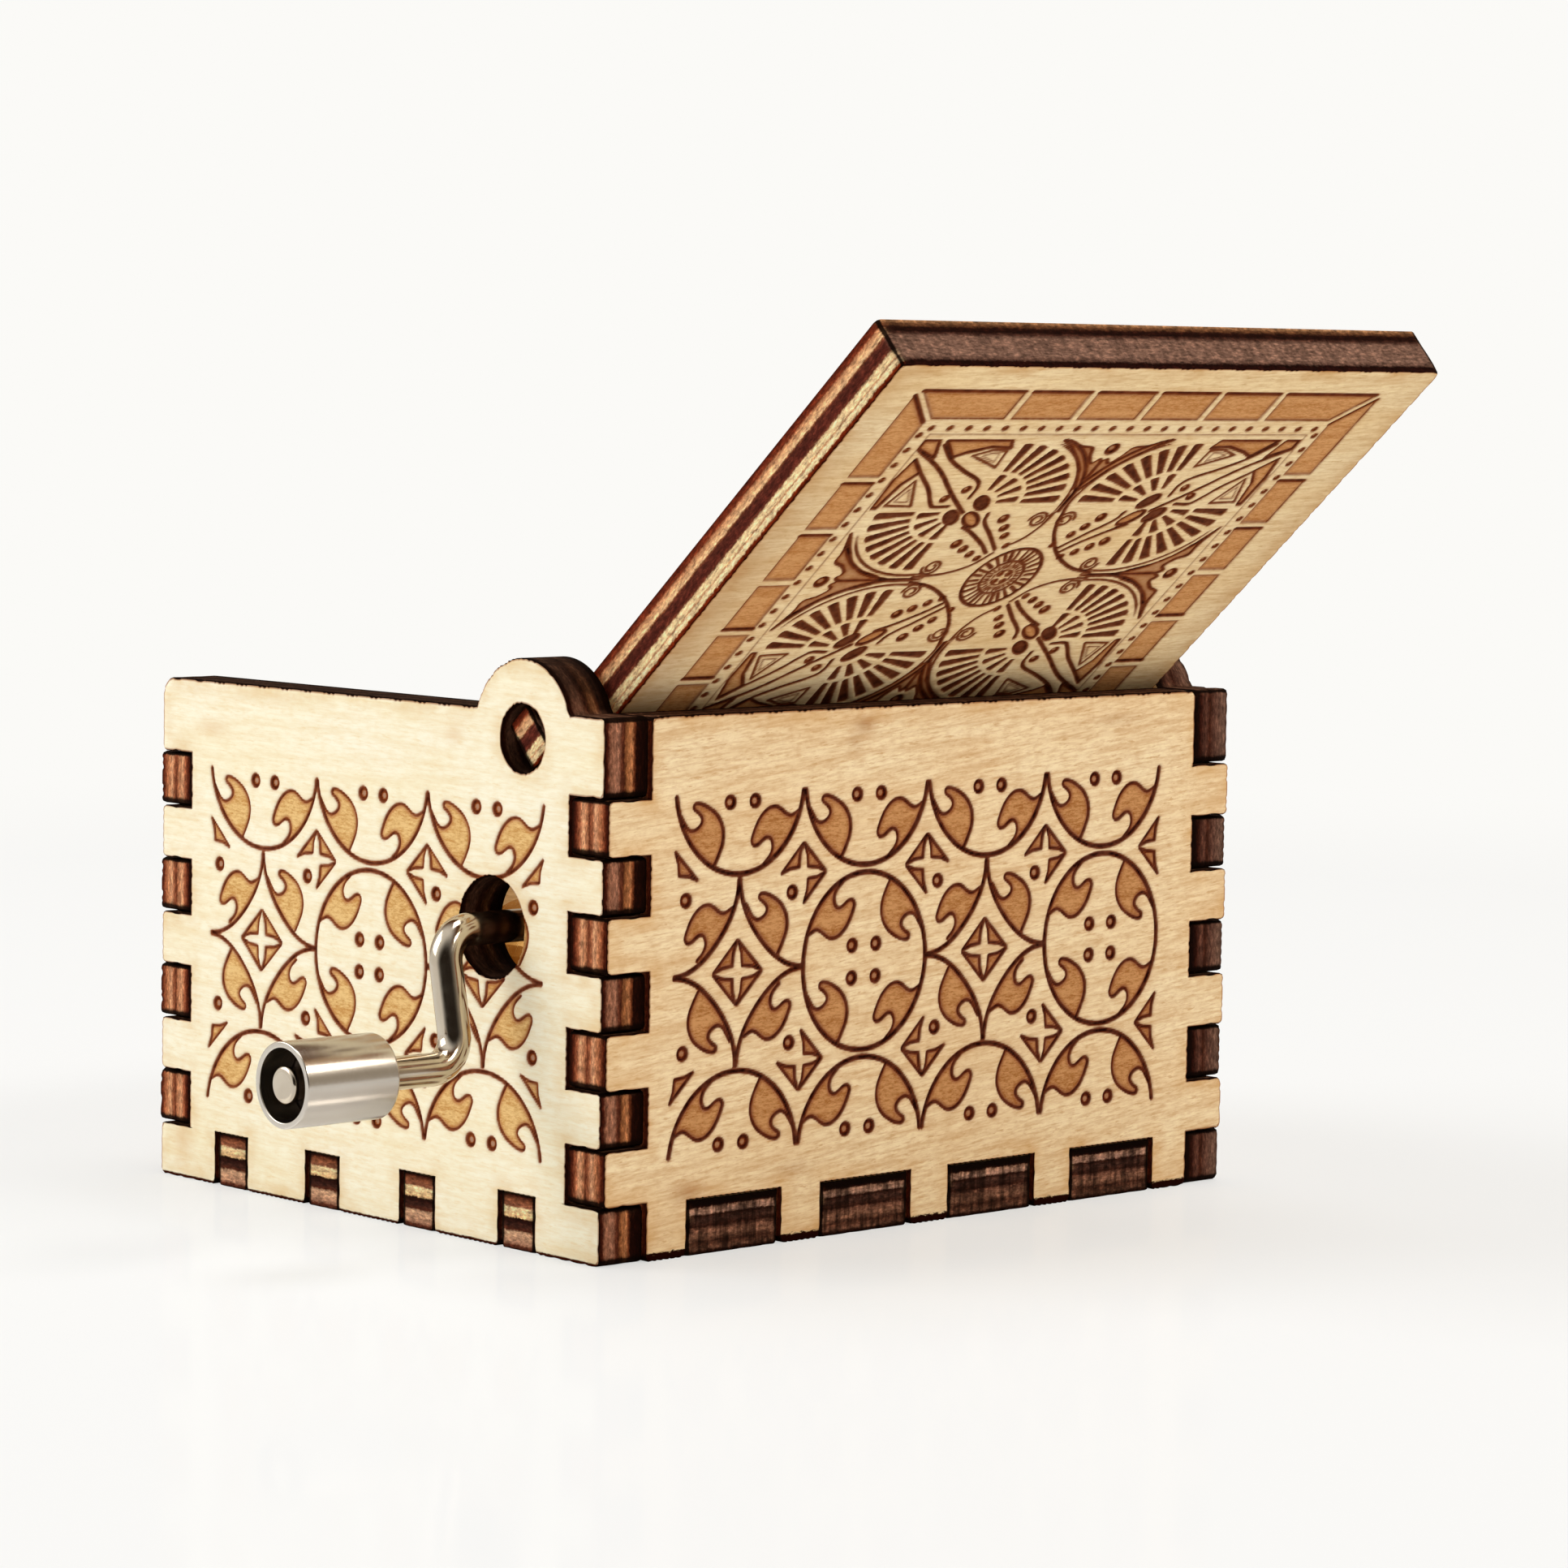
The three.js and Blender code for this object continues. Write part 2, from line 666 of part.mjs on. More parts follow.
// How far back from the tips the slots end, from the lowest note to the highest.
const slotDepth = (note) => bassTine + ((trebleTine - bassTine) * note) / (notes - 1);

function comb() {
  const outer = (notes * notePitch - tineSlot) / 2;
  const edge = (note) => (note - notes / 2) * notePitch;
  const points = [[combBackX, -outer]];
  for (let note = 0; note < notes; note++) {
    points.push([tipX, edge(note) + tineSlot / 2], [tipX, edge(note + 1) - tineSlot / 2]);
    if (note + 1 < notes) {
      const root = tipX - slotDepth(note + 1 / 2);
      points.push([root, edge(note + 1) - tineSlot / 2], [root, edge(note + 1) + tineSlot / 2]);
    }
  }
  points.push([combBackX, outer]);
  const tines = solid(plate(outline(points), combTopZ - tineThickness, tineThickness));
  const side = outer + combShoulder;
  const shoulderX = (note) => tipX - slotDepth(note) - rootLedge;
  const body = outline([
    [combBackX, -side],
    [shoulderX(0), -side],
    [shoulderX(notes - 1), side],
    [combBackX, side],
  ]);
  const thick = solid(plate(body, combSeatZ, combThickness));
  const weights = Array.from({ length: weightCount }, (_, note) => {
    const share = 1 - note / weightCount; // lower notes carry more
    const middle = edge(note) + notePitch / 2;
    const half = (notePitch - 2 * tineSlot) / 2;
    const front = tipX - weightSetback;
    const top = combTopZ - tineThickness / 2;
    const low = combTopZ - tineThickness - weightDrop * share;
    return block(front - weightLength, front, middle - half, middle + half, low, top);
  });
  const holes = combScrewPlaces.map(([x, y]) =>
    rodUp(x, y - drumShift, combSeatZ - overrun, combTopZ + overrun, screwRadius + screwGap + kerfGap),
  );
  const whole = holes.reduce((made, hole) => made.subtract(hole), union(tines, thick, ...weights));
  return whole.translate([0, drumShift, 0]);
}

// An upright with a round top and a bearing hole, standing across the drum's axis.
function upright(low) {
  const shape = outline([
    [drumX - uprightWidth / 2, bottomThickness + bedThickness / 2],
    [drumX + uprightWidth / 2, bottomThickness + bedThickness / 2],
    [drumX + uprightCrown, drumZ],
  ]);
  shape.absarc(drumX, drumZ, uprightCrown, 0, Math.PI, false);
  shape.holes.push(roundHole(drumX, drumZ, arborRadius + bearingPlay));
  const sheet = plate(shape, -low - uprightThickness, uprightThickness);
  return solid(sheet.rotateX(Math.PI / 2));
}

function bedplate() {
  const stepX = tipX - slotDepth(0) - rootLedge - stepSetback;
  const stepHalf = (notes * notePitch) / 2 + combShoulder;
  const [[screwX], [bossX, bossY]] = fixingPlaces;
  const body = union(
    block(bedLowX, bedHighX, bedLowY, bedHighY, bottomThickness, bedTopZ),
    block(bedLowX, stepX, drumShift - stepHalf, drumShift + stepHalf, bottomThickness, combSeatZ),
    upright(farUprightY),
    upright(nearUprightY),
    rodUp(bossX, bossY, bottomThickness, bedTopZ + bossHeight, bossRadius),
  );
  const tapped = screwRadius + screwGap;
  const fixing = fixingRadius + screwGap;
  const fixingTop = fixingSunk + fixingLength + overrun / 2;
  const cutters = [
    ...combScrewPlaces.map(([x, y]) => rodUp(x, y, combTopZ - screwLength - overrun, combTopZ, tapped)),
    ...footScrewPlaces.map(([x, y]) => rodUp(x, y, bottomThickness - overrun, bedTopZ + overrun, tapped)),
    rodUp(screwX, drumShift, bottomThickness - overrun, fixingTop, fixing),
    rodUp(bossX, bossY, bottomThickness - overrun, bedTopZ + bossHeight + overrun, fixing),
  ];
  return cutters.reduce((made, cutter) => made.subtract(cutter), body);
}

// A channel on edge: two bearing walls with round tops, on one foot.
function crankBracket() {
  const shape = outline([[bracketLow, bedTopZ], [bracketHigh, bedTopZ]]);
  shape.absarc(crankAxisY, crankAxisZ, bracketWidth / 2, 0, Math.PI, false);
  shape.holes.push(roundHole(crankAxisY, crankAxisZ, journalRadius + bearingPlay));
  const wall = (x) => {
    const turnUp = new THREE.Matrix4().makeBasis(alongY, alongZ, alongX);
    return solid(plate(shape, x, bracketWall).applyMatrix4(turnUp));
  };
  const rear = drumX - bracketSpan / 2 - bracketWall;
  const front = drumX + bracketSpan / 2;
  const foot = block(rear, front + bracketWall, bracketLow, bracketHigh, bedTopZ, bedTopZ + bracketFoot);
  const bore = screwRadius + screwGap + kerfGap;
  const top = bedTopZ + bracketFoot + overrun;
  const holes = footScrewPlaces.map(([x, y]) => rodUp(x, y, bedTopZ - overrun, top, bore));
  return holes.reduce((made, hole) => made.subtract(hole), union(wall(rear), wall(front), foot));
}

// A slotted pan head screw, head up, with the seat of its head at the origin.
function panScrew(length) {
  const profile = [
    [0, -length],
    [screwRadius, -length],
    [screwRadius, 0],
    [screwHeadRadius, 0],
    [screwHeadRadius, screwHeadHeight - screwDome],
    [screwHeadRadius - screwDome, screwHeadHeight],
    [0, screwHeadHeight],
  ];
  const reach = screwHeadRadius + overrun;
  const floor = screwHeadHeight - screwSlotDepth;
  const slot = block(-reach, reach, -screwSlot / 2, screwSlot / 2, floor, screwHeadHeight + overrun);
  return solid(turnedUp(profile, smallSides)).subtract(slot);
}

// A slotted countersunk screw, head down, with the face of its head at the origin.
function sunkScrew() {
  const profile = [
    [0, 0],
    [fixingHeadRadius, 0],
    [fixingHeadRadius, fixingHeadRim],
    [fixingRadius, fixingHeadRim + fixingCone],
    [fixingRadius, fixingLength],
    [0, fixingLength],
  ];
  const reach = fixingHeadRadius + overrun;
  const slot = block(-reach, reach, -screwSlot / 2, screwSlot / 2, -overrun, fixingSlotDepth);
  return solid(turnedUp(profile, smallSides)).subtract(slot);
}

function screws(name, places, seat, body) {
  return places.map(([x, y], place) => {
    const mesh = piece(name + "_" + (place + 1), body, polishedSteel);
    mesh.position.set(x, y, seat);
    return mesh;
  });
}

function makeMovement() {
  const movement = new THREE.Group();
  movement.add(
    piece("bedplate", bedplate(), castZinc),
    piece("crank_bracket", crankBracket(), castZinc),
    piece("comb", comb(), springSteel),
    ...screws("comb_screw", combScrewPlaces, combTopZ, panScrew(screwLength)),
    ...screws("bracket_screw", footScrewPlaces, bedTopZ + bracketFoot, panScrew(footScrewLength)),
    ...screws("fixing_screw", fixingPlaces, fixingSunk, sunkScrew()),
  );
  return movement;
}

const musicBox = new THREE.Group();
musicBox.add(makeCase(), makeLid(), makeCrank(), makeDrum(), makeMovement());

export default musicBox;
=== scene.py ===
from functools import partial
import bpy
import numpy as np
from mathutils import Matrix
from mathutils.geometry import delaunay_2d_cdt


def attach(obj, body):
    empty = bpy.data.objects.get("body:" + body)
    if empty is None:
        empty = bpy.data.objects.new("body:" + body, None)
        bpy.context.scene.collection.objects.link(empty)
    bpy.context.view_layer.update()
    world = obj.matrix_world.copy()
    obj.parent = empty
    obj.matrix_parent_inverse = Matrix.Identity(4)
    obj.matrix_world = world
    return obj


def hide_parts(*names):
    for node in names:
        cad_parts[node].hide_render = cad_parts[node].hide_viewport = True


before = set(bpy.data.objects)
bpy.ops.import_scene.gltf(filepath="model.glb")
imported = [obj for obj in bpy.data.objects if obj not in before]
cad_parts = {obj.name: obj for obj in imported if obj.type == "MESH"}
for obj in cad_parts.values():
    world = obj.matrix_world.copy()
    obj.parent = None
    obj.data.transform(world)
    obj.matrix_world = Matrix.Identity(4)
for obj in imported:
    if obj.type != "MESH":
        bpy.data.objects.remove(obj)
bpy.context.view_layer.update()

mm = 0.001
tiny = 1e-9            # keeps divisions away from nought
upZ = (0.0, 0.0, 1.0)


# Helpers

def linear(hexText):
    # sRGB hex to linear light: low values divided by 12.92, the rest raised by 0.055, divided by 1.055, to the 2.4
    parts = [int(hexText[i:i + 2], 16) / 255 for i in (1, 3, 5)]
    return tuple(p / 12.92 if p <= 0.04045 else ((p + 0.055) / 1.055) ** 2.4 for p in parts) + (1.0,)


def unit(vectors):
    # each vector divided by its own length
    return vectors / np.maximum(np.linalg.norm(vectors, axis=-1, keepdims=True), tiny)


def facingPose(back, place, roll=0.0):
    # a pose at a place in metres, which looks against back. Its right side is level, across back and the vertical,
    # and then turned about back by roll.
    back = unit(np.asarray(back, float))
    right = unit(np.cross(upZ, back))
    up = np.cross(back, right)
    axes = [right * np.cos(roll) + up * np.sin(roll), up * np.cos(roll) - right * np.sin(roll), back]
    pose = Matrix(np.array(axes).T.tolist()).to_4x4()
    pose.translation = place
    return pose


def placeObject(name, data, pose=None):
    # puts a mesh, lamp or camera into the scene
    made = bpy.data.objects.new(name, data)
    if pose is not None:
        made.matrix_world = pose
    bpy.context.scene.collection.objects.link(made)
    return made


def makeMesh(name, points, faces, materials):
    # points in metres, faces as lists of their corners, and one slot for each material
    mesh = bpy.data.meshes.new(name)
    mesh.from_pydata(np.asarray(points).tolist(), [], faces)
    for material in materials:
        mesh.materials.append(material)
    return placeObject(name, mesh)


def smoothShade(piece, sharpAngle):
    # smooth, except where two faces meet at more than the angle, in degrees
    piece.data.shade_smooth()
    piece.data.set_sharp_from_angle(angle=np.radians(sharpAngle))


def addVectors(piece, name, values):
    # three numbers at each point, which the materials read
    attribute = piece.data.attributes.new(name, "FLOAT_VECTOR", "POINT")
    attribute.data.foreach_set("vector", np.asarray(values, np.float32).ravel())


def addNode(tree, kind, inputs=None, stops=None, **settings):
    # adds one node. An input, by name or number, takes a value, a hex colour, a socket, or another node's first
    # output in use. stops are the places and shades of a colour ramp.
    made = tree.nodes.new(kind)
    for name, value in settings.items():
        setattr(made, name, value)
    for key, value in (inputs or {}).items():
        if isinstance(value, bpy.types.Node):
            value = next(socket for socket in value.outputs if socket.enabled)
        if isinstance(value, bpy.types.NodeSocket):
            tree.links.new(value, made.inputs[key])
        else:
            made.inputs[key].default_value = linear(value) if isinstance(value, str) else value
    if stops:
        elements = made.color_ramp.elements
        while len(elements) < len(stops):
            elements.new(0.5)
        for element, (place, shade) in zip(elements, stops):
            element.position = place
            element.color = linear(shade) if isinstance(shade, str) else (shade, shade, shade, 1.0)
    return made


def newMaterial(name):
    # an empty material, and addNode with its tree filled in
    material = bpy.data.materials.new(name)
    material.use_nodes = True
    material.node_tree.nodes.clear()
    return material, partial(addNode, material.node_tree)


# Camera: where the photograph was taken from

shot = {
    "place": (260.8, 294.1, 63.9),   # mm
    "azimuth": 137.45,               # degrees round from the front, towards the crank side
    "elevation": 4.79,
    "roll": 0.87,
    "focalPixels": 6233.0,           # over an image of imagePixels
    "imagePixels": 1932,
    "sensorWidth": 36.0,
    "clip": (0.01, 20.0),            # m
}


def makeCamera(spec):
    # looks back along the direction that the azimuth and the elevation give. The lens in mm is the focal length as
    # a share of the image's width, times the sensor's width.
    turn, rise, roll = np.radians([spec["azimuth"], spec["elevation"], spec["roll"]])
    back = (np.sin(turn) * np.cos(rise), -np.cos(turn) * np.cos(rise), np.sin(rise))
    lens = bpy.data.cameras.new("camera")
    lens.sensor_width = spec["sensorWidth"]
    lens.lens = spec["focalPixels"] / spec["imagePixels"] * spec["sensorWidth"]
    lens.clip_start, lens.clip_end = spec["clip"]
    bpy.context.scene.camera = placeObject("camera", lens, facingPose(back, np.array(spec["place"]) * mm, roll))


makeCamera(shot)
print("camera made")


# Drawing on a sheet. Places are millimetres: u to the right and v up, seen from outside. ink holds the places of a
# sheet's points, and how far a line, a browned floor, a pit, the glow beside a line and a dark patch cover each. The
# patches are stains on the panels and painted shade along the lid's margins.

pen = {
    "tip": 0.25,               # width that is left at a tapered end, as a share
    "dotRing": 0.72,           # middle of a dot's dark rim, as a share of the dot's radius
    "dotRim": 0.56,            # width of that rim, as a share too
    "dotSteps": 20,
}


def polar(degrees):
    # the direction at an angle: its cosine and sine
    return np.array([np.cos(np.radians(degrees)), np.sin(np.radians(degrees))])


def smoothPath(points, steps=6):
    # a Catmull-Rom curve through given points: cubic stretches, whose slope at a point is half the way from the point
    # before it to the point after it
    points = np.asarray(points, float)
    ends = np.vstack([2 * points[0] - points[1], points, 2 * points[-1] - points[-2]])
    t = np.linspace(0, 1, steps, endpoint=False)[:, None, None]
    a, b, c, d = ends[:-3], ends[1:-2], ends[2:-1], ends[3:]
    curve = 0.5 * (2 * b + (c - a) * t + (2 * a - 5 * b + 4 * c - d) * t ** 2
                   + (3 * b - a - 3 * c + d) * t ** 3)
    return np.vstack([curve.transpose(1, 0, 2).reshape(-1, 2), points[-1:]])


def arcPath(centre, semi, start, end, steps=28):
    # a stretch of an ellipse, between two angles in degrees: middle plus half axes times cosine and sine
    return centre + np.multiply(semi, polar(np.linspace(start, end, steps + 1)).T)


def nearest(u, v, start, end):
    # shortest distance from each point to a set of straight edges: (distance, edge, share along that edge)
    du, dv = (end - start).T
    length = np.maximum(du ** 2 + dv ** 2, tiny)
    ru = u[:, None] - start[:, 0]
    rv = v[:, None] - start[:, 1]
    share = np.clip((ru * du + rv * dv) / length, 0, 1)
    squared = (ru - share * du) ** 2 + (rv - share * dv) ** 2
    edge = squared.argmin(1)
    rows = np.arange(len(u))
    return np.sqrt(squared[rows, edge]), edge, share[rows, edge]


def crossings(v, start, end):
    # the u at which each edge crosses the level of each point: start plus its share of the edge's step. Edges that
    # don't cross it give minus infinity.
    step = end - start
    crosses = (start[:, 1] > v[:, None]) != (end[:, 1] > v[:, None])
    at = start[:, 0] + (v[:, None] - start[:, 1]) / np.where(step[:, 1] == 0, tiny, step[:, 1]) * step[:, 0]
    return np.where(crosses, at, -np.inf)


def inside(u, v, start, end):
    # even-odd rule: an odd number of edges lies to the right
    return (u[:, None] < crossings(v, start, end)).sum(1) % 2 == 1


def windowOf(ink, path, margin):
    # the points within a margin of a path's box
    low = path.min(0) - margin
    high = path.max(0) + margin
    u, v = ink["u"], ink["v"]
    return np.flatnonzero((u > low[0]) & (u < high[0]) & (v > low[1]) & (v < high[1]))


def drawLine(ink, path, width, taperStart=0.0, taperEnd=0.0, tone=1.0):
    # a burnt line along a path: full cover within half its width, falling to none over the soft edge, and beside
    # it a glow that falls with the square of the distance. The tapers are lengths over which it thins out.
    path = np.asarray(path, float)
    where = windowOf(ink, path, width + ink["glowReach"])
    if not len(where):
        return
    reach, edge, share = nearest(ink["u"][where], ink["v"][where], path[:-1], path[1:])
    steps = np.linalg.norm(np.diff(path, axis=0), axis=1)
    run = np.concatenate([[0], np.cumsum(steps)])
    along = run[edge] + share * steps[edge]
    half = np.full(len(where), width / 2)
    for taper, fromEnd in ((taperStart, along), (taperEnd, run[-1] - along)):
        if taper:
            half *= np.clip(pen["tip"] + (1 - pen["tip"]) * fromEnd / taper, 0, 1)
    cover = np.clip(0.5 + (half - reach) / ink["soft"], 0, 1) * tone
    ink["line"][where] = np.maximum(ink["line"][where], cover)
    near = np.clip(1 - (reach - half) / ink["glowReach"], 0, 1) ** 2 * tone
    ink["glow"][where] = np.maximum(ink["glow"][where], near)


def outline(ink, path, width, tone=1.0):
    # a line round a closed path
    drawLine(ink, np.vstack([path, path[:1]]), width, tone=tone)


def fillShape(ink, path, field="fill", tone=1.0):
    # an engraved patch inside a closed path: the distance to the path, less than nought outside, over the soft edge
    path = np.asarray(path, float)
    where = windowOf(ink, path, 2 * ink["soft"])
    if not len(where):
        return
    u, v = ink["u"][where], ink["v"][where]
    ends = np.roll(path, -1, axis=0)
    reach = nearest(u, v, path, ends)[0]
    signed = np.where(inside(u, v, path, ends), reach, -reach)
    cover = np.clip(0.5 + signed / ink["soft"], 0, 1) * tone
    ink[field][where] = np.maximum(ink[field][where], cover)


def drawDot(ink, centre, radius):
    # a burnt pit: dark rim, lighter floor
    middle = radius * pen["dotRing"]
    ring = arcPath(centre, (middle, middle), 0, 360, pen["dotSteps"])
    drawLine(ink, ring, radius * pen["dotRim"])
    fillShape(ink, ring, "pit")


def drawSpot(ink, centre, reach, tone):
    # a soft dark patch, a stain on the panels and painted shade on the lid's margins: the tone falls with the squared
    # distance, measured in its own half sizes
    apart = ((ink["u"] - centre[0]) / reach[0]) ** 2 + ((ink["v"] - centre[1]) / reach[1]) ** 2
    ink["spot"][:] = np.maximum(ink["spot"], tone * np.exp(-apart))


# Case and lid sheets. The outline of each comes from its solid, and its outer face is a fine grid.

sheets = {
    "fineCell": 0.15,          # mm, under the engraving
    "coarseCell": 0.45,        # over the plain margins
    "sameLine": 0.02,          # grid lines closer than this are one
    "joined": 0.001,           # an outline's points closer than this are one
    "outlineSteps": 1e4,       # they are rounded to this many steps in a mm
    "looksThere": 0.5,         # cosine above which a face looks a given way
    "oneFlat": (0.999, 0.01),  # cosine, and depth in mm, within which triangles are one flat face
    "squareTurn": 0.9,         # sine of a corner's turn, above which it is a finger tip
    "mitreLimit": 0.5,         # least squared length of two edges' summed directions, against spikes
    "sameCorner": 1e-6,        # mm, within which two corners of the inner face are one
    "edgeRound": 0.07,         # sanded edge
    "cornerRound": 0.42,       # of the finger tips, in the plane of the sheet
    "lineDepth": 0.13,
    "fillDepth": 0.07,
    "pitDepth": 0.16,
    "wallRings": (0.22, 0.45, 0.66, 0.84),   # shares of the thickness at which the cut edge has a ring
    "ragged": 0.09,            # how far the beam bit unevenly into the arris
    "raggedWaves": (2.3, 3.1, 11.0, 9.0),    # per mm: slow along u and v, quick along u and v
    "raggedShift": 1.1,
    "raggedQuick": 0.6,        # strength of the quick wave
    "wallWaver": 0.02,         # how far the burnt edge eats in between the plies
    "waverWaves": (7.1, 5.3),  # per mm
    "waverOther": 0.3,         # share of it at every second ring
    "softCells": 1.1,          # soft edge of a drawn line, in fine cells
    "glowReach": 0.4,          # how far the brown beside a burnt line reaches
    "scorchReach": 2.0,        # farthest distance from an edge that the scorch is worked out for
    "sharpAngle": 60,
    "atOnce": 20000,           # points whose distances are worked out together
}


def openEdges(edges, count):
    # edges that no other face runs the other way
    ahead, back = edges[:, 0] * count + edges[:, 1], edges[:, 1] * count + edges[:, 0]
    return edges[~np.isin(ahead, back)]


def flatFace(node, towards, up, spec):
    # the largest flat face of a CAD sheet that looks a given way: its axes, its height and its outline's edges,
    # which are the edges that only one of its triangles has
    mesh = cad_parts[node].data
    mesh.calc_loop_triangles()
    place = np.empty(len(mesh.vertices) * 3)
    mesh.vertices.foreach_get("co", place)
    place = place.reshape(-1, 3) / mm
    corner = np.empty(len(mesh.loop_triangles) * 3, int)
    mesh.loop_triangles.foreach_get("vertices", corner)
    corner = corner.reshape(-1, 3)
    points = place[corner]
    cross = np.cross(points[:, 1] - points[:, 0], points[:, 2] - points[:, 0])
    facing = unit(cross)
    size = np.where(facing @ np.array(towards) > spec["looksThere"], np.linalg.norm(cross, axis=1), 0)
    normal = facing[size.argmax()]
    up = unit(np.array(up) - (np.array(up) @ normal) * normal)
    across = np.cross(up, normal)
    height = place @ normal
    cosine, depth = spec["oneFlat"]
    on = (facing @ normal > cosine) & ((height[corner] > height.max() - depth).all(1))
    flat = np.stack([points @ across, points @ up], -1)[on].reshape(-1, 2)
    unique, index = np.unique(np.round(flat * spec["outlineSteps"]).astype(np.int64), axis=0, return_inverse=True)
    index = index.reshape(-1, 3)
    outer = openEdges(np.concatenate([index[:, [i, (i + 1) % 3]] for i in range(3)]), len(unique))
    corners = unique / spec["outlineSteps"]
    return {
        "across": across, "up": up, "normal": normal, "height": height.max(),
        "thickness": height.max() - height.min(),
        "start": corners[outer[:, 0]], "end": corners[outer[:, 1]],
    }


def gridLines(places, flatSteps, fineFrom, fineTo, spec):
    # grid lines that pass through every straight edge and both ends: each stretch between two of these is cut into
    # as many equal steps as its length has cells, rounded up, and the cells are small under the engraving
    stops = np.unique(np.round(np.append(places[flatSteps], [fineFrom, fineTo, places.min(), places.max()]), 4))
    stops = stops[(stops >= places.min()) & (stops <= places.max())]
    stops = stops[np.concatenate([[True], np.diff(stops) > spec["sameLine"]])]
    margin = spec["sameLine"] / 2
    lines = []
    for low, high in zip(stops[:-1], stops[1:]):
        fine = low >= fineFrom - margin and high <= fineTo + margin
        count = int(np.ceil((high - low) / (spec["fineCell"] if fine else spec["coarseCell"])))
        lines.append(np.linspace(low, high, count, endpoint=False))
    return np.concatenate(lines + [stops[-1:]])


def gridCells(start, end, engraved, spec):
    # the grid's cells whose middles lie inside the outline: u and v of their corners, and the four corners of each
    straight = np.abs(end - start) < spec["joined"]
    uLines = gridLines(start[:, 0], straight[:, 0], *engraved[:2], spec)
    vLines = gridLines(start[:, 1], straight[:, 1], *engraved[2:], spec)
    at = crossings((vLines[1:] + vLines[:-1]) / 2, start, end)
    uMiddle = (uLines[1:] + uLines[:-1]) / 2
    row, column = np.nonzero((uMiddle[None, :, None] < at[:, None, :]).sum(-1) % 2 == 1)
    wide = len(uLines)
    cell = row * wide + column
    used, cells = np.unique(np.stack([cell, cell + 1, cell + wide + 1, cell + wide], 1), return_inverse=True)
    return uLines[used % wide], vLines[used // wide], cells.reshape(-1, 4)


def squareCorners(start, end, spec):
    # convex right-angled corners of an outline, with the sheet on the left of every edge. Each comes with its two
    # directions away from the corner along the outline.
    along = unit(end - start)
    follows = (np.abs(end[:, None] - start[None]).max(-1) < spec["joined"]).argmax(1)
    after = along[follows]
    turn = along[:, 0] * after[:, 1] - along[:, 1] * after[:, 0]
    square = turn > spec["squareTurn"]
    return end[square], np.stack([-along[square], after[square]], 1)


def roundTips(points, corners, inward, radius):
    # points on the outline within a radius of a convex corner move straight towards the round's middle, onto it
    for corner, (back, ahead) in zip(corners, inward):
        middle = corner + radius * (back + ahead)
        close = np.linalg.norm(points - corner, axis=1) < radius
        points[close] = middle + unit(points[close] - middle) * radius
    return points


def fitBorder(points, start, end, spec):
    # the border's points move onto the outline, which is off the grid only on its round stretches, and then onto the
    # rounds of the tips. Also each point's distance from the nearest corner, and 1 where that is a corner at a
    # tooth's right or lower end, which gets a wider black: char, and painted shadow of the gap between the panels.
    edge, share = nearest(*points.T, start, end)[1:]
    points = start[edge] + share[:, None] * (end - start)[edge]
    corners, inward = squareCorners(start, end, spec)
    apart = corners[:, None] - points
    reach = np.linalg.norm(apart, axis=-1)
    closest = apart[reach.argmin(0), np.arange(len(points))]
    charAndGapShadowEnd = (closest[:, 0] - closest[:, 1] > -tiny).astype(float)
    return roundTips(points, corners, inward, spec["cornerRound"]), reach.min(0), charAndGapShadowEnd


def outwardOf(points, border, spec):
    # outward direction at each border point: the sum of its two edges' normals, lengthened at a corner as a mitre
    along = points[border[:, 1]] - points[border[:, 0]]
    normals = unit(np.stack([along[:, 1], -along[:, 0]], 1))
    out = np.zeros(points.shape)
    for side in (0, 1):
        np.add.at(out, border[:, side], normals)
    return out * 2 / np.maximum((out ** 2).sum(1), spec["mitreLimit"])[:, None]


def edgeRings(points, thickness, spec):
    # rings of a cut edge, each how far outward and how deep: the burnt arris, bitten by a slow wave times another
    # plus a quick one, the wavering wall, and the sanded lower arris
    u, v = points.T
    slowU, slowV, quickU, quickV = spec["raggedWaves"]
    bite = np.sin(slowU * u + spec["raggedShift"]) * np.sin(slowV * v)
    bite += spec["raggedQuick"] * np.sin(quickU * u + quickV * v)
    bitten = spec["ragged"] * np.clip(bite, 0, 1)
    waver = spec["wallWaver"] * (0.5 + 0.5 * np.sin(spec["waverWaves"][0] * u + spec["waverWaves"][1] * v))
    bevel = spec["edgeRound"]
    rings = [(-bitten, bevel + bitten)]
    rings += [(-waver * (spec["waverOther"] if i % 2 else 1), thickness * share)
              for i, share in enumerate(spec["wallRings"])]
    return rings + [(0.0, thickness - bevel), (-bevel, thickness)], bevel + bitten


def innerFace(ring, border, places, spec):
    # triangles that close the last ring of a sheet, kept where their middles lie inside it
    points = places[ring]
    made = delaunay_2d_cdt(points.tolist(), border.tolist(), [], 1, spec["sameCorner"])
    # where the ring crosses itself at a tight corner, the crossing takes the nearest point of the ring
    source = np.abs(np.array(made[0])[:, None] - points[None]).sum(-1).argmin(1)
    triangles = source[np.array(made[2])]
    triangles = triangles[(np.diff(np.sort(triangles, 1), axis=1) > 0).all(1)]
    triangles = triangles[inside(*points[triangles].mean(1).T, points[border[:, 0]], points[border[:, 1]])]
    a, b, c = (points[triangles[:, i]] for i in range(3))
    turn = (b[:, 0] - a[:, 0]) * (c[:, 1] - a[:, 1]) - (b[:, 1] - a[:, 1]) * (c[:, 0] - a[:, 0])
    triangles[turn > 0] = triangles[turn > 0][:, ::-1]
    return ring[triangles]


def scorchReach(u, v, start, end, spec):
    # each point's distance from the outline, up to the farthest that is scorched, worked out in portions
    portions = [slice(low, low + spec["atOnce"]) for low in range(0, len(u), spec["atOnce"])]
    return np.minimum(np.concatenate([nearest(u[part], v[part], start, end)[0] for part in portions]),
                      spec["scorchReach"])


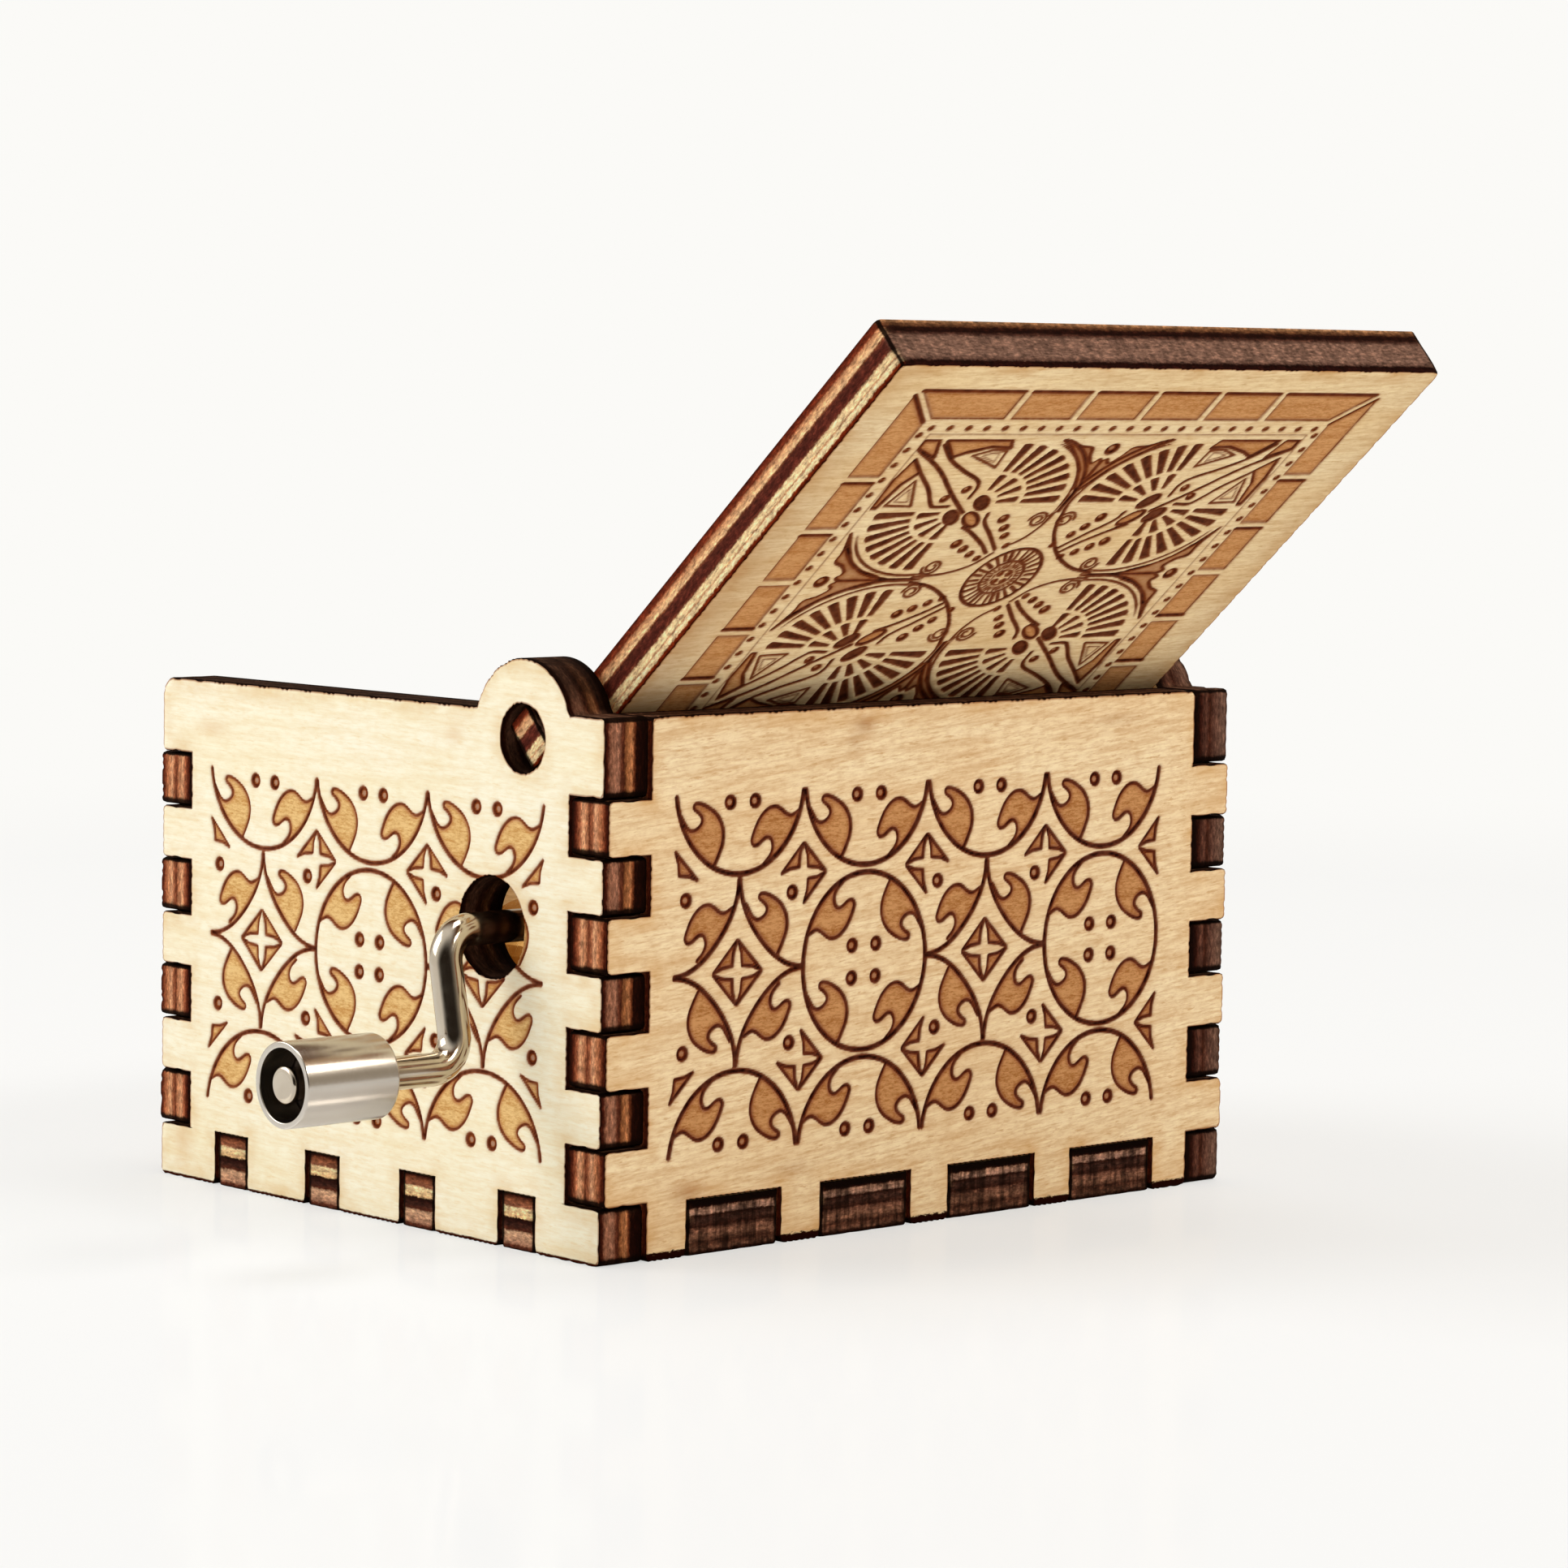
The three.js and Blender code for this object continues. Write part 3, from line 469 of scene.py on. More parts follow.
def makeSheet(name, node, body, towards, up, engraved, ornament, materials, origin=(0, 0, 0), spec=sheets):
    # a dressed panel. The outer face is a grid over its outline, sunk by each cover times its own depth, the deeper
    # of line with floor and pit. Its cut edges are the border's points, repeated in rings, and the last is closed.
    face = flatFace(node, towards, up, spec)
    shift = np.array([face["across"] @ np.array(origin), face["up"] @ np.array(origin)])
    start, end = face["start"] - shift, face["end"] - shift
    u, v, cells = gridCells(start, end, engraved, spec)
    count = len(u)
    border = openEdges(np.concatenate([cells[:, [i, (i + 1) % 4]] for i in range(4)]), count)
    rim = np.unique(border)
    edge, fromCorner, charAndGapShadowEnd = fitBorder(np.stack([u[rim], v[rim]], 1), start, end, spec)
    u[rim], v[rim] = edge.T
    scorch = scorchReach(u, v, start, end, spec)
    ink = {"u": u, "v": v, "soft": spec["fineCell"] * spec["softCells"], "glowReach": spec["glowReach"]}
    for field in ("line", "fill", "pit", "glow", "spot"):
        ink[field] = np.zeros(count)
    if ornament:
        ornament(ink)
    fill = ink["fill"] * (1 - ink["line"])
    depth = np.maximum(spec["lineDepth"] * ink["line"] + spec["fillDepth"] * fill, spec["pitDepth"] * ink["pit"])

    local = np.full(count, -1)
    local[rim] = np.arange(len(rim))
    border = local[border]
    out = outwardOf(edge, border, spec)
    rings, cutBack = edgeRings(edge, face["thickness"], spec)
    places = np.stack([u, v], 1)
    places[rim] = edge - cutBack[:, None] * out
    depth[rim] = 0.0
    places = np.concatenate([places] + [edge + np.multiply(offset, out.T).T for offset, low in rings])
    depth = np.concatenate([depth] + [np.broadcast_to(low, len(rim)) for offset, low in rings])

    # walls join each ring to the next; the top ring is the grid's own border
    ringStart = [rim] + [count + i * len(rim) + np.arange(len(rim)) for i in range(len(rings))]
    a, b = border.T
    walls = np.concatenate([np.stack([upper[b], upper[a], lower[a], lower[b]], 1)
                            for upper, lower in zip(ringStart[:-1], ringStart[1:])])
    inner = innerFace(ringStart[-1], border, places, spec)
    points = ((places + shift) @ [face["across"], face["up"]]
              + (face["height"] - depth)[:, None] * face["normal"]) * mm
    piece = makeMesh(name, points, cells.tolist() + walls.tolist() + inner.tolist(), materials)
    part = np.repeat([0, 1, 2], [len(cells), len(walls), len(inner)])
    piece.data.polygons.foreach_set("material_index", part)

    # on the face the covers and the scorch; on the cut edges how far each looks along u, which tooth ends get the
    # wider black of char and painted gap shadow, and the distance from a corner
    looksAlong = out[:, 0] ** 2 / np.maximum((out ** 2).sum(1), tiny)
    onFace = np.stack([ink["line"], fill, scorch], 1)
    onEdge = np.tile(np.stack([looksAlong, charAndGapShadowEnd, fromCorner], 1), (len(rings), 1))
    stains = np.stack([ink["pit"], ink["glow"], ink["spot"]], 1)
    addVectors(piece, "place", np.column_stack([places, depth]))
    addVectors(piece, "marks", np.vstack([onFace, onEdge]))
    addVectors(piece, "pits", np.vstack([stains, np.zeros(onEdge.shape)]))
    smoothShade(piece, spec["sharpAngle"])
    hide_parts(node)
    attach(piece, body)
    print(name, "made with", 2 * len(cells) + 2 * len(walls) + len(inner), "triangles")


# Panel ornament: a lattice of ellipses, four leaves in each, with star diamonds between them

motif = {
    "semi": (6.15, 6.55),          # of the drawn ellipse
    "line": 0.4,
    "frameLine": 0.95,             # line of the pointed frames, as a share of that
    "leafLine": 0.27,
    "dot": 0.56,                   # radius
    "dotSpread": 1.2,              # from the middle of a group of dots to each
    "ringDots": -0.1,              # how far the dots in a ring are moved along u
    "openDots": (0.2, 1.35),       # how far those of an open loop are moved along u, and inwards
    "frameDots": (1.1, 1.35),      # how far the dots round a frame stand from the ellipses' middles
    "openArc": (7, 173),           # degrees, of the loops that the edge cuts off
    "frameArc": 44,                # degrees to each side, of the arcs of a frame
    "frameLeaf": 0.965,            # size of the leaves round a frame
    "star": 2.15,                  # half diagonal of the star diamonds
    "starLine": 0.26,
    "starWedge": [(0.03, 1.0), (1.0, 0.03), (0.62, 0.17), (0.21, 0.21), (0.17, 0.62)],   # shares of that
    "frameStar": 1.07,             # size of the star in a frame
    "frameStarShift": -0.12,
    "apexGap": 0.1,                # between the arcs that meet at a star frame's point
    "dip": 0.05,                   # how far the middle of those arcs is drawn in, as a share
    "rowGap": 0.55,                # between the ellipses of neighbouring rows
    "steps": {"loop": 40, "ring": 80, "frame": 28, "leaf": 12},    # straight pieces in each curve
    # lower right leaf, from the ellipse's right side round to its foot
    "broadLeaf": [(5.75, -2.2), (5.0, -2.55), (4.5, -2.45), (3.9, -2.05), (3.4, -1.85), (2.75, -1.95),
                  (2.1, -2.4), (1.6, -3.05), (1.2, -3.9), (1.12, -4.3), (1.35, -4.58), (1.75, -4.52),
                  (2.2, -4.22), (2.55, -4.05), (2.9, -4.12), (3.12, -4.48), (3.12, -4.95), (2.85, -5.45),
                  (2.3, -5.95)],
    # lower left leaf, from the ellipse's left side round to its foot
    "hookLeaf": [(-5.8, -2.0), (-5.4, -2.6), (-5.05, -3.05), (-4.6, -3.25), (-4.1, -3.1), (-3.72, -2.75),
                 (-3.68, -2.35), (-4.0, -1.98), (-4.4, -1.7), (-4.42, -1.42), (-4.15, -1.3),
                 (-3.6, -1.4), (-2.95, -1.7), (-2.3, -2.15), (-1.82, -2.8), (-1.62, -3.5),
                 (-1.7, -4.3), (-2.05, -5.1), (-2.5, -5.9)],
}

facePatterns = {
    # In columns, e is a closed ellipse and a a pointed frame. row is the height of the middle row. The drawing
    # leans a little: lean shifts the foot of each column, dotShift the dots there. spots are resin stains, each
    # with its middle, half sizes and tone. area is the engraved part: from and to, along u and v.
    "back": {"columns": "aeae", "centre": -0.72, "pitch": 12.45, "row": 20.1, "scale": (1.0, 1.0),
             "lean": (-0.38, -0.3, -0.2, -0.1), "dotShift": (-0.4, -0.45, -0.2, -0.2), "weight": 0.95,
             "spots": [((-7.4, 37.4), (1.1, 0.6), 0.6), ((-8.3, 36.4), (0.8, 0.9), 0.3),
                       ((-24.0, 4.6), (1.6, 0.8), 0.5), ((19.5, 36.9), (2.6, 0.5), 0.3),
                       ((-14.0, 5.4), (2.0, 0.5), 0.3)],
             "area": (-27.2, 25.2, 6.2, 33.6)},
    "side": {"columns": "aea", "centre": -0.15, "pitch": 13.25, "row": 19.45, "scale": (1.075, 0.985),
             "lean": (-0.4, -0.15, 0.05), "dotShift": (-0.35, -0.35, -0.3), "weight": 0.78,
             "spots": [((17.5, 37.8), (1.4, 0.8), 0.5), ((-20.0, 35.2), (2.0, 0.6), 0.35),
                       ((9.5, 36.6), (1.0, 0.6), 0.3), ((-23.5, 3.0), (1.2, 2.0), 0.35)],
             "area": (-21.0, 20.5, 5.6, 33.0)},
}


def drawLeaf(ink, centre, scale, leaf, flip):
    # a leaf is closed by the ellipse, from the angle of its last point back to the angle of its first. flip is -1
    # for the leaf turned half round to the opposite corner.
    path = smoothPath(motif[leaf]) * flip * scale
    semi = np.array(motif["semi"]) * scale
    tips = path[[0, -1]] / semi
    first, last = np.degrees(np.arctan2(tips[:, 1], tips[:, 0]))
    if abs(first - last) > 180:
        first += 360 * np.sign(last - first)
    back = arcPath((0, 0), semi, last, first, motif["steps"]["leaf"])
    fillShape(ink, np.vstack([path, back]) + centre)
    drawLine(ink, path + centre, motif["leafLine"] * ink["weight"])


def drawStarWedge(ink, centre, scale, right, top):
    # one of the four wedges between the arms of a star, mirrored by right and top
    wedge = np.array(motif["starWedge"]) * motif["star"] * (right, top) * scale + centre
    fillShape(ink, wedge)
    outline(ink, wedge, motif["starLine"] * ink["weight"])


def drawDots(ink, middle, places):
    # dots at some places round a middle
    for place in places:
        drawDot(ink, np.add(middle, place), motif["dot"])


def panelOrnament(ink, spec):
    # columns lie one pitch apart, and rows one lift, which is an ellipse's height and the gap. The drawing moves
    # along u by the lean at its column, times how far it lies below the middle row, in lifts.
    for spot in spec["spots"]:
        drawSpot(ink, *spot)
    scale = np.array(spec["scale"])
    semi = np.array(motif["semi"]) * scale
    pitch, middle, line, spread = spec["pitch"], spec["row"], motif["line"] * spec["weight"], motif["dotSpread"]
    lift = 2 * semi[1] + motif["rowGap"]
    columns = len(spec["columns"])
    columnU = spec["centre"] + (np.arange(columns) - (columns - 1) / 2) * pitch
    lean = np.interp(ink["u"], columnU, spec["lean"]) * np.clip((middle - ink["v"]) / lift, 0, 1)
    ink = dict(ink, u=ink["u"] - lean, weight=spec["weight"])
    for u, kind, dotShift in zip(columnU, spec["columns"], spec["dotShift"]):
        # open loops along the top and bottom edges
        for sign in (1, -1):
            centre = (u, middle + sign * lift)
            turned = 180 if sign > 0 else 0
            start, end = np.add(motif["openArc"], turned)
            drawLine(ink, arcPath(centre, semi, start, end, motif["steps"]["loop"]), line)
            for leaf in ("broadLeaf", "hookLeaf"):
                drawLeaf(ink, centre, scale, leaf, sign)
            right, inwards = motif["openDots"]
            right += 0 if sign > 0 else dotShift
            drawDots(ink, centre, [(right + side * spread, -sign * inwards) for side in (-1, 1)])
        if kind == "e":
            drawLine(ink, arcPath((u, middle), semi, 0, 360, motif["steps"]["ring"]), line)
            for leaf in ("broadLeaf", "hookLeaf"):
                for flip in (-1, 1):
                    drawLeaf(ink, (u, middle), scale, leaf, flip)
        for side, top in ((-1, -1), (-1, 1), (1, -1), (1, 1)):
            # where the ellipses leave a gap stand star wedges, but none where a frame's leaf has its dot
            corner = np.array([u + side * pitch / 2, middle + top * lift / 2])
            drawStarWedge(ink, corner, scale, -side, top)
            if kind == "e":
                drawStarWedge(ink, corner, scale, -side, -top)
                drawDots(ink, (u + motif["ringDots"], middle), [(side * spread, top * spread)])
                continue
            # an arc of a neighbouring ellipse: four of them make a pointed frame round a star. It is drawn in by the
            # dip times the squared sine of twice its angle.
            drawStarWedge(ink, (u + motif["frameStarShift"], middle), scale * motif["frameStar"], side, top)
            angle = np.linspace(-motif["frameArc"], motif["frameArc"], motif["steps"]["frame"] + 1)
            angle += np.degrees(np.arctan2(-top, -side))
            reach = (np.array([pitch, lift]) - motif["apexGap"]) / 2
            drawn = 1 - motif["dip"] * np.sin(2 * np.radians(angle)) ** 2
            drawLine(ink, (polar(angle) * drawn).T * reach + corner, line * motif["frameLine"])
            drawLeaf(ink, corner, scale * motif["frameLeaf"], "hookLeaf" if side * top > 0 else "broadLeaf", top)
            drawDots(ink, corner, [np.multiply(motif["frameDots"], (-side, -top))])


# Lid ornament: a block border, a dotted row, and one quarter drawn four times about the middle. Widths in mm;
# where two numbers stand together, they are a width and a tone.

lidPattern = {
    "hinge": (0, 18.62, 35.30),        # foot of the hinge axis on the outer face, from which v runs
    "middle": (-0.35, 19.75),
    "area": (-24.9, 24.2, -1.6, 41.0),
    "cell": 0.16,                      # a little coarser than the other sheets, for fewer triangles
    "spots": [((-27.5, 14.0), (3.8, 26.0), 0.42), ((0.0, -2.5), (34.0, 6.0), 0.36),   # painted shade: the margins darker towards the hinge and the sides
              ((27.5, 18.0), (3.0, 26.0), 0.22)],
    "blocks": 3,                       # from the middle to the corner, on each side
    "blockOuter": (23.6, 20.6),        # half sizes of the block border's outside
    "blockInner": (20.75, 17.75),
    "blockPitch": (6.5, 5.6),
    "blockGap": 0.75,
    "blockMitre": 0.465,               # what the gap takes off a block along the corner
    "blockLine": (0.2, 0.6),
    "blockHeavy": ((3, 2), (1, 2)),    # edge that is burnt deeper: outside on the long sides, end on the short ones
    "heavyLine": 0.34,
    "dotRow": (20.2, 16.75),
    "dotPitch": (1.78, 1.6),
    "rowDot": 0.29,
    "thinFrame": (19.3, 16.1),
    "thinLine": (0.22, 0.4),
    "fan": (9.55, 8.1),                # middle of each quarter's fan
    "fanStretch": (1.0, 0.83),         # the fans are a little squat
    # the two halves of a fan: degrees where its rays begin, shift from the middle, ends of its rims
    "fanHalves": ((90, (-0.45, 0.35), (113, 192)), (-90, (0.45, -0.35), (-102, -21))),
    "rays": ((8, 4.35, 7.9, 0.24, 0.47), (4, 1.9, 3.8, 0.16, 0.4)),   # number, radii, half widths at the ends
    "rayStart": 0.25,                  # of a ray's share, before the first
    "raySpread": 0.35,                 # of a ray's share, by which the rays stand wider apart
    "rayTip": 0.12,                    # how far a ray's end is pointed
    "rayTone": 0.9,
    "rims": ((8.7, 0.2), (9.4, 0.32)),  # radius and width of the lines round a fan
    "rimTapers": (1.2, 1.5),
    # brown cusps between neighbouring fans, a waved edge and then a plain one
    "cusps": (([(5.6, 15.5), (3.3, 14.8), (2.1, 14.6), (1.6, 13.7), (0.9, 12.9), (0.35, 13.4), (0.02, 13.0)],
               [(0.0, 9.6), (0.6, 10.6), (1.5, 12.2), (2.8, 13.5), (4.4, 14.8)]),
              ([(18.9, 5.4), (18.2, 3.4), (18.1, 2.2), (17.1, 1.7), (16.4, 0.9), (16.8, 0.4), (16.3, 0.02)],
               [(12.0, 0.0), (13.0, 0.5), (15.2, 1.2), (16.6, 2.2), (17.9, 3.8)])),
    "cuspLine": 0.24,
    "cuspTone": 0.32,
    "strokes": [
        # the corner dart's three long lines
        (0.32, [(19.0, 14.4), (15.5, 12.3), (12.4, 9.7), (9.6, 7.5)]),
        (0.3, [(17.0, 15.0), (15.2, 13.4), (13.1, 12.2), (11.0, 11.2), (10.3, 10.4), (10.25, 9.2)]),
        (0.3, [(18.6, 13.4), (17.0, 11.9), (15.0, 10.2), (13.7, 8.7), (13.0, 8.2), (11.6, 8.25)]),
        # the stem towards the rosette
        (0.3, [(8.4, 5.9), (7.0, 5.2), (5.0, 3.9), (3.8, 2.9)]),
        (0.3, [(7.0, 7.4), (6.6, 6.4), (5.0, 5.0), (3.2, 3.3)]),
        # between the quarters
        (0.3, [(9.0, 0.05), (12.4, 0.05)]),
        (0.34, [(0.05, 7.6), (0.05, 10.0)]),
    ],
    # two facing quarters hold vines, the other two a long arc past the rosette
    "vineLine": (0.26, 0.85),
    "vines": [[(9.2, 0.3), (6.4, 0.6), (4.3, 1.5), (3.1, 2.9)], [(0.3, 7.4), (0.5, 6.0), (1.2, 4.6), (2.2, 3.7)]],
    "arcLine": 0.3,
    "arc": [(9.0, 0.3), (6.6, 0.9), (4.4, 2.1), (2.6, 3.7), (1.1, 5.8), (0.4, 8.2)],
    # filled corners round the dart
    "corners": [[(17.0, 15.4), (10.7, 15.4), (10.2, 14.6), (12.2, 14.7), (14.2, 14.1), (15.2, 13.6)],
                [(18.6, 13.3), (17.1, 12.0), (18.0, 10.6), (18.5, 8.1), (18.9, 8.1), (19.0, 11.2)],
                [(19.1, 15.4), (17.7, 15.4), (16.9, 13.5), (19.1, 14.5)]],
    "cornerLine": 0.26,
    # leaves beside the dart, each drawn again inside at half its size
    "leaves": [[(13.4, 13.8), (11.8, 14.4), (10.4, 14.3), (10.2, 12.5)], [(16.9, 11.1), (15.3, 8.3), (17.9, 8.4)]],
    "leafLines": ((1.0, 0.26, 0.75), (0.5, 0.2, 0.5)),    # size, width and tone
    # seeds at the middle of the fan: middle, turn in degrees, half sizes, what they are filled with, and its tone
    "seeds": (((8.55, 8.6), 42, (0.95, 0.5), "line", 0.85), ((10.4, 7.0), 42, (0.95, 0.5), "line", 0.85),
              ((8.2, 6.7), 38, (1.15, 0.52), "fill", 1.0)),
    "seedLine": 0.3,
    "seedSteps": 24,
    # middle and radius: in the cusps, beside the dart, down both sides of the stem, and in the rosette
    "dots": [((0.0, 14.5), 0.62), ((17.9, 0.0), 0.62), ((11.2, 10.1), 0.42), ((12.6, 9.1), 0.42),
             ((5.0, 6.8), 0.5), ((4.15, 5.75), 0.44), ((3.4, 4.85), 0.4), ((2.4, 3.7), 0.34),
             ((7.6, 4.0), 0.5), ((6.5, 3.4), 0.44), ((5.4, 2.8), 0.4), ((4.3, 2.3), 0.34), ((0.4, 0.4), 0.3)],
    "curls": (((1.4, 6.6), 1), ((8.1, 1.4), -1)),         # middle, and the way round
    "curlTurns": 1.7,
    "curlSteps": 39,
    "curlRadius": (0.9, 0.06),         # at the start, and what it loses per radian
    "curlLine": (0.24, 0.85),
    "rosette": 3.3,                    # radius, of which the next are shares
    "rosetteRings": ((1.0, 0.3, 1.0), (0.56, 0.26, 0.9), (0.26, 0.22, 0.7)),   # radius, width and tone
    "ribs": 7,
    "ribSpan": (0.63, 0.93),
    "ribLine": (0.3, 0.85),
    # how the ribs' angles, starts and widths differ: by how much, and a sine's step and start
    "ribUneven": ((0.12, 5.0, 0.0), (0.07, 3.0, 1.0), (0.06, 4.0, 0.0)),
    "petalSpan": (0.36, 0.48),
    "petalLine": (0.24, 0.7),
}


def onQuarter(ink, middle):
    # the same field folded onto one quarter: distances from the middle lines, always positive
    return dict(ink, u=np.abs(ink["u"] - middle[0]), v=np.abs(ink["v"] - middle[1]))


def drawBorder(ink, spec):
    # block i runs along its side from i pitches to the next, less half a gap at both ends, and from the inner half
    # size to the outer across it. The last block ends on the mitre. Then the dots, one pitch apart.
    inner, outer, gap = spec["blockInner"], spec["blockOuter"], spec["blockGap"]
    for axis, across in ((0, 1), (1, 0)):
        for i in range(spec["blocks"]):
            low, high = np.array([i, i + 1]) * spec["blockPitch"][axis] + (gap / 2, -gap / 2)
            ends = [high, high]
            if i == spec["blocks"] - 1:
                ends = [inner[axis] - spec["blockMitre"], outer[axis] - spec["blockMitre"]]
            block = np.empty((4, 2))
            block[:, axis] = [low, *ends, low]
            block[:, across] = np.repeat([inner[across], outer[across]], 2)
            width, tone = spec["blockLine"]
            fillShape(ink, block)
            outline(ink, block, width, tone)
            drawLine(ink, block[list(spec["blockHeavy"][axis])], spec["heavyLine"])
        place = np.array(spec["dotRow"])
        for along in np.arange(0, place[axis], spec["dotPitch"][axis]):
            place[axis] = along
            drawDot(ink, place, spec["rowDot"])
    width, tone = spec["thinLine"]
    farU, farV = spec["thinFrame"]
    drawLine(ink, [(0, farV), (farU, farV), (farU, 0)], width, tone=tone)


def drawFan(ink, spec):
    # two half fans, which point to the mid lines. Ray i of a ring stands at a share of a right angle, and is a
    # wedge from the low radius to the high one, with half widths across it.
    stretch = np.array(spec["fanStretch"])
    for base, shift, rimEnds in spec["fanHalves"]:
        centre = np.add(spec["fan"], shift)
        for number, low, high, narrow, wide in spec["rays"]:
            for i in range(number):
                along = polar(base + (i + spec["rayStart"]) / (number - spec["raySpread"]) * 90)
                across = np.array([-along[1], along[0]])
                ray = [along * low - across * narrow, along * high - across * wide,
                       along * (high + spec["rayTip"]), along * high + across * wide, along * low + across * narrow]
                ray = ray * stretch + centre
                fillShape(ink, ray)
                fillShape(ink, ray, "line", spec["rayTone"])
        for radius, width in spec["rims"]:
            drawLine(ink, arcPath(centre, radius * stretch, *rimEnds), width, *spec["rimTapers"])
    for centre, turn, semi, field, tone in spec["seeds"]:
        along = polar(turn)
        seed = arcPath((0, 0), semi, 0, 360, spec["seedSteps"]) @ [along, (-along[1], along[0])] + centre
        drawLine(ink, seed, spec["seedLine"])
        fillShape(ink, seed, field, tone)


def drawRosette(ink, spec):
    # rings, uneven ribs between two of them, and petals: each at its shares of the radius
    radius = spec["rosette"]
    for share, width, tone in spec["rosetteRings"]:
        drawLine(ink, arcPath((0, 0), (radius * share, radius * share), 0, 90), width, tone=tone)
    (start, end), (width, tone), (petalWidth, petalTone) = spec["ribSpan"], spec["ribLine"], spec["petalLine"]
    for i in range(spec["ribs"]):
        turn, later, wider = (much * np.sin(step * i + first) for much, step, first in spec["ribUneven"])
        ray = polar((i + 0.5 + turn) / spec["ribs"] * 90) * radius
        drawLine(ink, [ray * (start + later), ray * end], width + wider, tone=tone)
        drawLine(ink, [ray * share for share in spec["petalSpan"]], petalWidth, tone=petalTone)


def lidOrnament(ink, spec):
    # everything but the stains and the painted shade is drawn on one quarter, at its distances from the middle lines
    for spot in spec["spots"]:
        drawSpot(ink, *spot)
    quarter = onQuarter(ink, spec["middle"])
    drawBorder(quarter, spec)
    drawFan(quarter, spec)
    drawRosette(quarter, spec)
    for waved, plain in spec["cusps"]:
        cusp = np.vstack([smoothPath(waved, 4), plain])
        fillShape(quarter, cusp)
        fillShape(quarter, cusp, "line", spec["cuspTone"])
        outline(quarter, cusp, spec["cuspLine"])
    for width, points in spec["strokes"]:
        drawLine(quarter, smoothPath(points), width)
    for corner in spec["corners"]:
        fillShape(quarter, corner)
        outline(quarter, corner, spec["cornerLine"])
    for leaf in spec["leaves"]:
        centre = np.mean(leaf, axis=0)
        for size, width, tone in spec["leafLines"]:
            outline(quarter, (leaf - centre) * size + centre, width, tone)
    for centre, radius in spec["dots"]:
        drawDot(quarter, centre, radius)
    # curls: the radius falls evenly with the angle
    width, tone = spec["curlLine"]
    for centre, hand in spec["curls"]:
        turns = np.linspace(0, 360 * spec["curlTurns"], spec["curlSteps"] + 1)
        radius = spec["curlRadius"][0] - spec["curlRadius"][1] * np.radians(turns)
        drawLine(quarter, (polar(hand * turns) * radius).T + centre, width, tone=tone)
    # points of the other two quarters are taken out of reach
    facing = (ink["u"] - spec["middle"][0]) * (ink["v"] - spec["middle"][1]) < 0
    width, tone = spec["vineLine"]
    for points in spec["vines"]:
        drawLine(dict(quarter, u=np.where(facing, quarter["u"], np.inf)), smoothPath(points), width, tone=tone)
    drawLine(dict(quarter, u=np.where(facing, np.inf, quarter["u"])), smoothPath(spec["arc"]), spec["arcLine"])


# Basswood plywood, sanded and laser cut, unvarnished. To the eye it is matt and pale with a faint straight grain,
# browned where the beam engraved it and charred where it cut through. Layers give their repeats per mm, detail and
# roughness. Real fibres are under 0.1 mm wide: they are drawn at 0.3 mm, so that they show.

